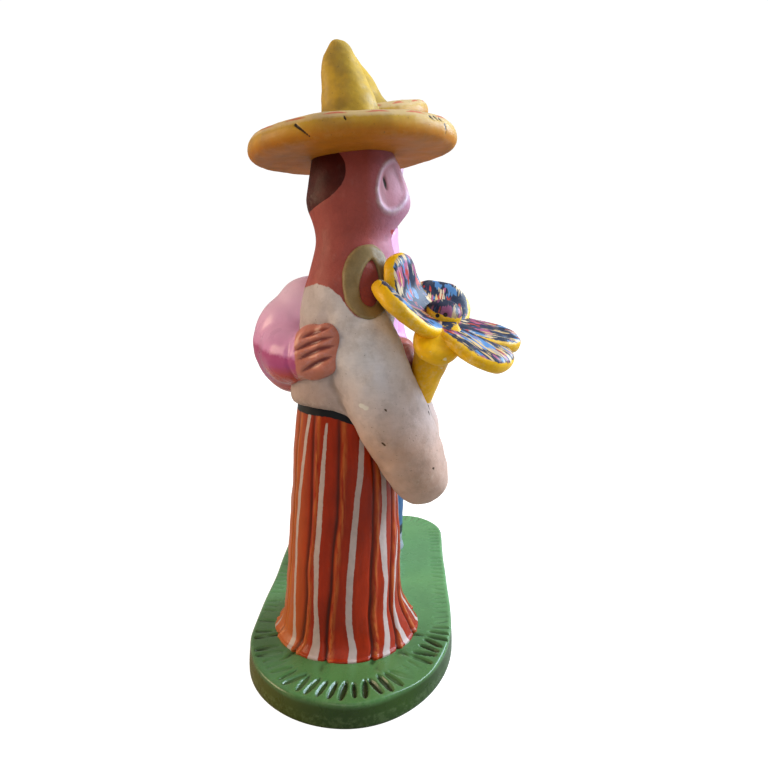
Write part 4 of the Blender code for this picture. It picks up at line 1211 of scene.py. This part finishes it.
def green_enamel():
    """Brushed green paint under a thin gloss varnish; the pressed marks are painted darker."""
    material, tree, place = new_paint("green_varnished_paint")
    colour = mottled(tree, place, "5E8E56", 16.0, 0.86, 1.12)
    colour = mottled(tree, place, colour, 1.1, 0.95, 1.05)
    where = add(tree, "ShaderNodeSeparateXYZ", {0: place}).outputs
    # Painted shade: the top is painted darker and more olive towards the near end.
    shaded_near_end = mottled(tree, place, "34521C", 9.0, 0.82, 1.2)
    colour = graded(tree, where["X"], -8.0, -66.0, 0.62, colour, shaded_near_end)
    # Painted shade: the rolled side is painted a much darker green than the top, and browner towards the
    # back.
    shaded_wall = mottled(tree, place, "2C400E", 20.0, 0.75, 1.2)
    shaded_wall = graded(tree, where["Y"], 4.0, 38.0, 0.55, shaded_wall, "6E6014")
    side = add(
        tree, "ShaderNodeMapRange", {"Value": where["Z"], "From Min": 9.3, "From Max": 7.6}
    ).outputs[0]
    colour = laid(tree, side, colour, shaded_wall, 0.86)
    mark = add(tree, "ShaderNodeAttribute", attribute_name="mark").outputs["Fac"]
    colour = graded(tree, mark, 0.25, 1.0, 0.82, colour, "25351A")
    varnish = add(tree, "ShaderNodeMapRange", {"Value": side, "To Min": 0.55, "To Max": 0.12}).outputs[0]
    finish_paint(
        tree, place, colour, roughness=0.28, coat=varnish, grain=0.8, relief=0.035,
        hollow_dirt_and_shade=(0.35, "1E2A10"), wear=(0.10, "A9BE86")
    )
    return material


def orange_paint():
    """Burnt-orange paint over clay with white hand-drawn stripes; brighter on the ridges."""
    material, tree, place = new_paint("burnt_orange_paint")
    tall = add(tree, "ShaderNodeMapping", {"Vector": place, "Scale": (1.0, 1.0, 0.12)}).outputs[0]
    colour = mottled(tree, tall, "9C2804", 2.6, 0.80, 1.16)
    colour = mottled(tree, place, colour, 14.0, 0.86, 1.14)
    groove = add(tree, "ShaderNodeAttribute", attribute_name="groove").outputs["Fac"]
    ridge = add(tree, "ShaderNodeMath", {0: groove, 1: RIDGE_BESIDE}, operation="SUBTRACT").outputs[0]
    ridge = add(tree, "ShaderNodeMath", {0: ridge}, operation="ABSOLUTE").outputs[0]
    broken = add(tree, "ShaderNodeTexNoise", {"Vector": tall, "Scale": 0.9, "Detail": 4.0}).outputs["Fac"]
    broken = add(
        tree, "ShaderNodeMapRange", {"Value": broken, "From Min": 0.36, "From Max": 0.58}
    ).outputs[0]
    colour = graded(tree, ridge, 1.5, 0.1, 0.62, colour, "C87030", broken)
    # Painted shade: the grooves are painted darker towards their middles.
    deep = add(tree, "ShaderNodeMath", {0: groove}, operation="ABSOLUTE").outputs[0]
    colour = graded(tree, deep, 1.0, 0.15, 0.72, colour, "4E1808")
    # Painted warm light: the skirt is painted a brighter orange towards the back.
    back = add(tree, "ShaderNodeSeparateXYZ", {0: place}).outputs["Y"]
    colour = graded(tree, back, 14.0, 25.0, 0.55, colour, "CC7834")
    white = mottled(tree, place, "BEA89E", 3.0, 0.88, 1.06)
    colour = coats(tree, place, colour, [
        ("stripe", 0.20, 0.12, 1.0, white), ("belt", 0.35, 0.15, 1.0, BELT_BLACK),
    ])
    finish_paint(
        tree, place, colour, roughness=0.38, coat=0.12, grain=0.6, relief=0.03,
        hollow_dirt_and_shade=(0.45, "30100A"), wear=(0.3, "C98050")
    )
    return material


def slip_and_skin(name, cloth, cloth_low_painted_light, hair, dust, behind):
    """White slip or shirt paint, matte and scratched, with satin skin and hair paint above it."""
    material, tree, place = new_paint(name)
    colour = mottled(tree, place, cloth, 17.0, 0.84, 1.12)
    slanted = add(
        tree, "ShaderNodeMapping", {"Vector": place, "Rotation": (0.0, 0.9, 0.5), "Scale": (1.0, 0.22, 1.0)}
    ).outputs[0]
    colour = mottled(tree, slanted, colour, 0.9, 0.95, 1.05)
    where = add(tree, "ShaderNodeSeparateXYZ", {0: place}).outputs
    # Painted light: the cloth takes the given colour low down; on the blouse this is a tan that stands in
    # for light thrown up from the orange skirt.
    colour = graded(tree, where["Z"], 126.0, 92.0, 0.66, colour, cloth_low_painted_light)
    # Painted shade: the cloth is painted browner towards the back, by the given share.
    colour = graded(tree, where["Y"], -8.0, 12.0, behind, colour, "86604C")
    dusty = add(
        tree, "ShaderNodeTexNoise", {"Vector": place, "Scale": 0.13, "Detail": 6.0, "Roughness": 0.7}
    ).outputs["Fac"]
    colour = graded(tree, dusty, 0.46, 0.72, dust, colour, "7C6A5C")
    colour = laid(tree, specks(tree, place, 1.1, 0.73), colour, "5B4A3A", 0.45)
    colour = coats(tree, place, colour, [
        ("chip", 0.5, 0.2, 0.85, "E4DDD0"), ("nick", 0.12, 0.1, 1.0, "4A3626"),
    ])
    flesh = mottled(tree, place, "9E4C44", 13.0, 0.86, 1.10)
    flesh = mottled(tree, place, flesh, 1.2, 0.94, 1.05)
    # Painted highlight: the flesh is painted a pale lilac pink towards the front, a sheen of cool light.
    flesh = graded(tree, where["Y"], -7.0, -17.0, 0.42, flesh, "C69CBE")
    locks = mottled(tree, place, hair, 5.0, 0.8, 1.25)
    flesh = coats(tree, place, flesh, [
        # The rim round each thumb hollow takes a painted highlight of pale lilac white.
        ("thumbed", 0.1, 0.6, 0.42, "C98F93"), ("rim", 0.03, 0.60, 0.44, "E6DCEC"),
        ("hair", 0.25, 0.14, 1.0, locks), ("eye", 0.05, 0.10, 1.0, "1A1210"),
        ("mouth", 0.05, 0.08, 0.85, "A8332C"), ("recess", 0.2, 0.5, 0.75, "8E4038"),
    ])
    above = edge_of(tree, place, "bare", 0.5, 0.18)
    recess = edge_of(tree, place, "recess", 0.2, 0.2)
    above = add(tree, "ShaderNodeMath", {0: above, 1: recess}, operation="MAXIMUM").outputs[0]
    colour = laid(tree, above, colour, flesh)
    colour = coats(tree, place, colour, [("hands", 0.2, 0.15, 1.0, "9C5646")])
    return material, tree, place, colour


def blouse_paint():
    """Matte white slip on the blouse, satin flesh paint on neck and face."""
    material, tree, place, colour = slip_and_skin(
        "white_slip_and_flesh_paint", "DCD8DA", "B87A42", "440804", 0.40, 0.52
    )
    burr = add(tree, "ShaderNodeAttribute", attribute_name="burr").outputs["Fac"]
    colour = laid(tree, burr, colour, "DCCFBE", 0.6)
    finish_paint(
        tree, place, colour, roughness=0.56, coat=0.04, grain=0.7, relief=0.115,
        hollow_dirt_and_shade=(0.55, "3C2A1C"), wear=(0.25, "E2D6C4")
    )
    return material


def shirt_paint():
    """Pink shirt paint, with the same flesh and hair paints above it."""
    material, tree, place, colour = slip_and_skin(
        "pink_shirt_and_flesh_paint", "DA9CC2", "C080A8", "3C1208", 0.06, 0.0
    )
    colour = coats(tree, place, colour, [
        ("front", 0.3, 0.2, 1.0, "D8B4CC"), ("waist", 0.3, 0.2, 1.0, BELT_BLACK),
        ("seat", 0.3, 0.2, 1.0, TROUSER_BLUE),
    ])
    finish_paint(
        tree, place, colour, roughness=0.42, coat=0.18, grain=0.7, relief=0.04,
        hollow_dirt_and_shade=(0.15, "3C2030")
    )
    return material


def khaki_paint():
    """Khaki paint on the raised collar, rubbed and dusty."""
    material, tree, place = new_paint("khaki_collar_paint")
    colour = mottled(tree, place, "857048", 7.0, 0.82, 1.14)
    colour = mottled(tree, place, colour, 0.8, 0.93, 1.07)
    finish_paint(
        tree, place, colour, roughness=0.52, coat=0.12, grain=0.6, relief=0.05,
        hollow_dirt_and_shade=(0.55, "2C2014"), wear=(0.35, "A5916C")
    )
    return material


def straw_paint():
    """Straw-yellow paint on the hats, more brown below with painted shade, red swags and a pale line on the
    rim.
    """
    material, tree, place = new_paint("straw_yellow_paint")
    colour = mottled(tree, place, "C49E34", 15.0, 0.84, 1.10)
    colour = mottled(tree, place, colour, 1.6, 0.93, 1.05)
    grey = add(
        tree, "ShaderNodeTexNoise", {"Vector": place, "Scale": 0.11, "Detail": 5.0, "Roughness": 0.65}
    ).outputs["Fac"]
    colour = graded(tree, grey, 0.46, 0.70, 0.55, colour, "8A7240")
    # The underside is painted more brown and darker: partly the hats' own paint, partly painted shade.
    browner_and_shaded = mottled(tree, place, "BC6A10", 12.0, 0.75, 1.1)
    colour = coats(tree, place, colour, [
        ("under", 0.3, 1.1, 0.85, browner_and_shaded), ("band", 0.25, 0.25, 0.35, "E6CDB4"),
        ("swag", 0.2, 0.15, 0.85, "C4543C"),
    ])
    colour = laid(tree, specks(tree, place, 0.9, 0.73), colour, "5A4420", 0.5)
    colour = coats(tree, place, colour, [("crack", 0.06, 0.08, 1.0, "2A1E12")])
    finish_paint(
        tree, place, colour, roughness=0.50, coat=0.06, grain=0.7, relief=0.055,
        hollow_dirt_and_shade=(0.50, "4A3818"), wear=(0.25, "E2CF94")
    )
    return material


def flower_paint():
    """Yellow paint on the flower's edges; its faces carry dry strokes of blue, pink, red and cream."""
    material, tree, place = new_paint("flower_paint")
    yellow = mottled(tree, place, "ECB40C", 9.0, 0.84, 1.10)
    yellow = mottled(tree, place, yellow, 1.0, 0.94, 1.05)
    yellow = laid(tree, specks(tree, place, 3.6, 0.75), yellow, "E8D9A8", 0.9)
    yellow = laid(tree, specks(tree, place, 0.9, 0.74), yellow, "6E4A10", 0.7)
    across = add(tree, "ShaderNodeAttribute", attribute_name="stroke").outputs["Vector"]
    face = mottled(tree, place, "182640", 5.0, 0.70, 1.25)
    # Dry strokes: colour, width and length in millimetres, how rare, their own seed, and their slant
    dry_strokes = [
        ("4C7CAC", 1.5, 9.0, 0.58, 3.0, -0.12), ("A85478", 1.3, 8.0, 0.60, 11.0, 0.10),
        ("B93A2E", 0.9, 5.0, 0.65, 41.0, 0.15), ("D2AE74", 0.60, 12.0, 0.60, 27.0, 0.06),
        ("DCC6A0", 0.45, 8.0, 0.65, 63.0, -0.10),
    ]
    for code, wide, long, rarity, seed, slant in dry_strokes:
        turned = add(tree, "ShaderNodeMapping", {
            "Vector": across, "Rotation": (0.0, 0.0, slant), "Location": (seed, seed, seed),
            "Scale": (0.62 / wide, 0.75 / long, 1.0),
        }).outputs[0]
        streak = add(
            tree, "ShaderNodeTexNoise",
            {"Vector": turned, "Scale": 0.8, "Detail": 3.0, "Roughness": 0.55, "Distortion": 0.25}
        ).outputs["Fac"]
        patch = add(
            tree, "ShaderNodeTexNoise", {"Vector": across, "Scale": 0.16, "Detail": 1.0, "W": seed},
            noise_dimensions="4D"
        ).outputs["Fac"]
        total = add(
            tree, "ShaderNodeMath", {0: patch, 1: 0.7, 2: streak}, operation="MULTIPLY_ADD"
        ).outputs[0]
        face = graded(tree, total, rarity + 0.34, rarity + 0.37, 1.0, face, code)
    on_button = add(tree, "ShaderNodeAttribute", attribute_name="button").outputs["Fac"]
    face = graded(tree, on_button, -0.1, 0.1, 0.45, face, "1A2338")
    colour = coats(tree, place, yellow, [
        # Painted shade: the button's two holes are shallow dents painted near-black.
        ("top", 0.9, 0.10, 1.0, face), ("hole", 0.1, 0.1, 1.0, "0E0C0A"),
    ])
    finish_paint(
        tree, place, colour, roughness=0.42, coat=0.10, grain=0.6, relief=0.05,
        hollow_dirt_and_shade=(0.50, "6A4A10"), wear=(0.25, "E8D9A8")
    )
    return material


def puff_paint():
    """Glossy pink paint on the puffed sleeve, magenta low down, with flesh paint on the hand."""
    material, tree, place = new_paint("glossy_pink_and_flesh_paint")
    colour = mottled(tree, place, "DA90BE", 12.0, 0.86, 1.12)
    up = add(tree, "ShaderNodeSeparateXYZ", {0: place}).outputs["Z"]
    # Painted light: the pink is painted paler towards the top, where light from above falls.
    colour = graded(tree, up, 126.0, 146.0, 0.75, colour, "EED0E4")
    flesh = mottled(tree, place, "C87A64", 6.0, 0.88, 1.10)
    gap = add(tree, "ShaderNodeAttribute", attribute_name="finger_gap").outputs["Fac"]
    flesh = graded(tree, gap, 0.25, 0.85, 0.8, flesh, "7A3428")
    colour = coats(tree, place, colour, [
        # The orange-red coat along the bottom is a painted reflection of the skirt's light.
        ("low", 1.0, 0.9, 0.85, "A6306C"), ("warm", 1.2, 2.0, 0.88, "C04A2C"),
        ("hand", 0.4, 0.3, 1.0, flesh),
    ])
    finish_paint(
        tree, place, colour, roughness=0.30, coat=0.30, grain=0.7, relief=0.025,
        hollow_dirt_and_shade=(0.45, "5A1E30"), wear=(0.2, "E0B8C4")
    )
    return material


def trouser_paint():
    """Blue satin paint on the trousers, with a black line at each cuff and grey shoes."""
    material, tree, place = new_paint("blue_trouser_paint")
    colour = mottled(tree, place, TROUSER_BLUE, 10.0, 0.82, 1.16)
    colour = coats(tree, place, colour, [
        ("cuff", 0.3, 0.15, 1.0, "121318"), ("shoe", 0.3, 0.2, 1.0, "8F9296"),
    ])
    finish_paint(
        tree, place, colour, roughness=0.38, coat=0.25, grain=0.7, relief=0.035,
        hollow_dirt_and_shade=(0.45, "0E1520"), wear=(0.25, "7C93A8")
    )
    return material


# Assembly

slab_paint = green_enamel()
hat_paint = straw_paint()
slab = green_slab(slab_paint)
blouse = blouse_and_head()
painted_pieces = [
    (slab, slab_paint),
    (pleated_skirt(), orange_paint()),
    (blouse, blouse_paint()),
    (collar_bands(blouse), khaki_paint()),
    (
        hat_lump(
            "near_hat", WOMAN_AT, (0.0, -0.9, 184.0), WOMAN_BRIM_WIDTH, girth=1.0, rise=1.0,
            back_tilt=4.4, side_lean=2.0, seed=81, cracked=True
        ),
        hat_paint
    ),
    (
        hat_lump(
            "far_hat", MAN_AT, (1.5, 1.0, 204.0), MAN_BRIM_WIDTH, girth=1.12, rise=0.885,
            back_tilt=10.0, side_lean=-8.0, seed=91, cracked=False
        ),
        hat_paint
    ),
    (flower_lump(), flower_paint()),
    (embracing_arm(), puff_paint()),
    (shirt_and_head(), shirt_paint()),
    (trousers_and_shoes(), trouser_paint()),
]
for thing, paint in painted_pieces:
    thing.data.materials.clear()
    thing.data.materials.append(paint)
    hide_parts("couple_figurine")
    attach(thing, "root")

# Stage: a pale floor, soft light and the camera at the photograph's angle


def stage_floor():
    """A wide floor that looks as white as a light table but throws little light up."""
    builder = bmesh.new()
    bmesh.ops.create_grid(builder, x_segments=2, y_segments=2, size=6.0)
    mesh = bpy.data.meshes.new("floor")
    builder.to_mesh(mesh)
    builder.free()
    floor = bpy.data.objects.new("floor", mesh)
    bpy.context.scene.collection.objects.link(floor)
    material = bpy.data.materials.new("pale_floor")
    material.use_nodes = True
    shader = material.node_tree.nodes["Principled BSDF"]
    shader.inputs["Base Color"].default_value = linear("A8A49C")
    shader.inputs["Roughness"].default_value = 0.9
    shader.inputs["Emission Color"].default_value = (0.95, 0.95, 0.95, 1.0)
    seen = add(material.node_tree, "ShaderNodeLightPath").outputs["Is Camera Ray"]
    material.node_tree.links.new(seen, shader.inputs["Emission Strength"])
    mesh.materials.append(material)


def soft_light(name, place, aim, size, power, colour):
    """A square soft light, in metres and watts, turned to aim."""
    data = bpy.data.lights.new(name, "AREA")
    data.size = size
    data.energy = power
    data.color = colour
    lamp = bpy.data.objects.new(name, data)
    lamp.visible_camera = False
    lamp.location = place
    lamp.rotation_euler = (Vector(aim) - Vector(place)).to_track_quat("-Z", "Y").to_euler()
    bpy.context.scene.collection.objects.link(lamp)


def white_room():
    """A white room to look at, which lights the figures less from the near side than from the far one."""
    world = bpy.data.worlds.new("white_sweep_and_room")
    world.use_nodes = True
    tree = world.node_tree
    tree.nodes.clear()
    way = add(tree, "ShaderNodeTexCoord").outputs["Generated"]
    ahead = add(tree, "ShaderNodeSeparateXYZ", {0: way}).outputs["X"]
    lighting = add(tree, "ShaderNodeMapRange", {
        "Value": ahead, "From Min": -0.5, "From Max": 0.8, "To Min": 0.21, "To Max": 0.36,
    }, interpolation_type="SMOOTHSTEP").outputs[0]
    seen = add(tree, "ShaderNodeLightPath").outputs["Is Camera Ray"]
    strength = add(tree, "ShaderNodeMix", {0: seen, 2: lighting, 3: 1.05}, data_type="FLOAT").outputs[0]
    light = add(
        tree, "ShaderNodeBackground", {"Color": (1.0, 1.0, 1.0, 1.0), "Strength": strength}
    ).outputs[0]
    add(tree, "ShaderNodeOutputWorld", {"Surface": light})
    bpy.context.scene.world = world


stage_floor()
white_room()
# Each light: its name, place, what it is aimed at, size in metres, power in watts and colour
for lamp in (
    ("cool_window", (0.08, -0.80, 0.60), (0.0, 0.0, 0.12), 0.50, 14.0, (0.68, 0.82, 1.0)),
    ("warm_lamp", (-0.06, 0.80, 0.36), (0.0, 0.0, 0.10), 0.45, 4.6, (1.0, 0.76, 0.50)),
    ("overhead", (0.10, -0.15, 0.90), (0.0, 0.0, 0.10), 0.60, 1.2, (1.0, 0.98, 0.95)),
    ("window_behind", (0.40, -0.58, 0.42), (0.0, 0.0, 0.10), 0.30, 3.4, (0.62, 0.78, 1.0)),
    ("near_fill", (-0.85, 0.10, 0.62), (0.0, 0.0, 0.10), 0.70, 1.8, (1.0, 0.96, 0.92)),
):
    soft_light(*lamp)

# The camera as it was fitted to the photograph: the picture's width, the lens's focal length, how far
# the horizon lies above the picture's middle and the view's vanishing point beside it, in pixels
PHOTO_WIDTH = 768.0
FOCAL_LENGTH = 650.0
HORIZON_ABOVE = 130.0
VANISHING_BESIDE = 25.0
CAMERA_PLACE = (-0.2768, -0.0219, 0.160)
SENSOR_WIDTH = 36.0

camera_data = bpy.data.cameras.new("camera")
camera_data.sensor_width = SENSOR_WIDTH
camera_data.lens = SENSOR_WIDTH * FOCAL_LENGTH / PHOTO_WIDTH
camera = bpy.data.objects.new("camera", camera_data)
pitch = math.atan(HORIZON_ABOVE / FOCAL_LENGTH)
pan = math.atan(VANISHING_BESIDE * math.cos(pitch) / FOCAL_LENGTH)
gaze = Vector((math.cos(pitch) * math.cos(pan), math.cos(pitch) * math.sin(pan), -math.sin(pitch)))
camera.location = CAMERA_PLACE
camera.rotation_euler = gaze.to_track_quat("-Z", "Y").to_euler()
bpy.context.scene.collection.objects.link(camera)
bpy.context.scene.camera = camera
bpy.context.scene.view_settings.view_transform = "Standard"
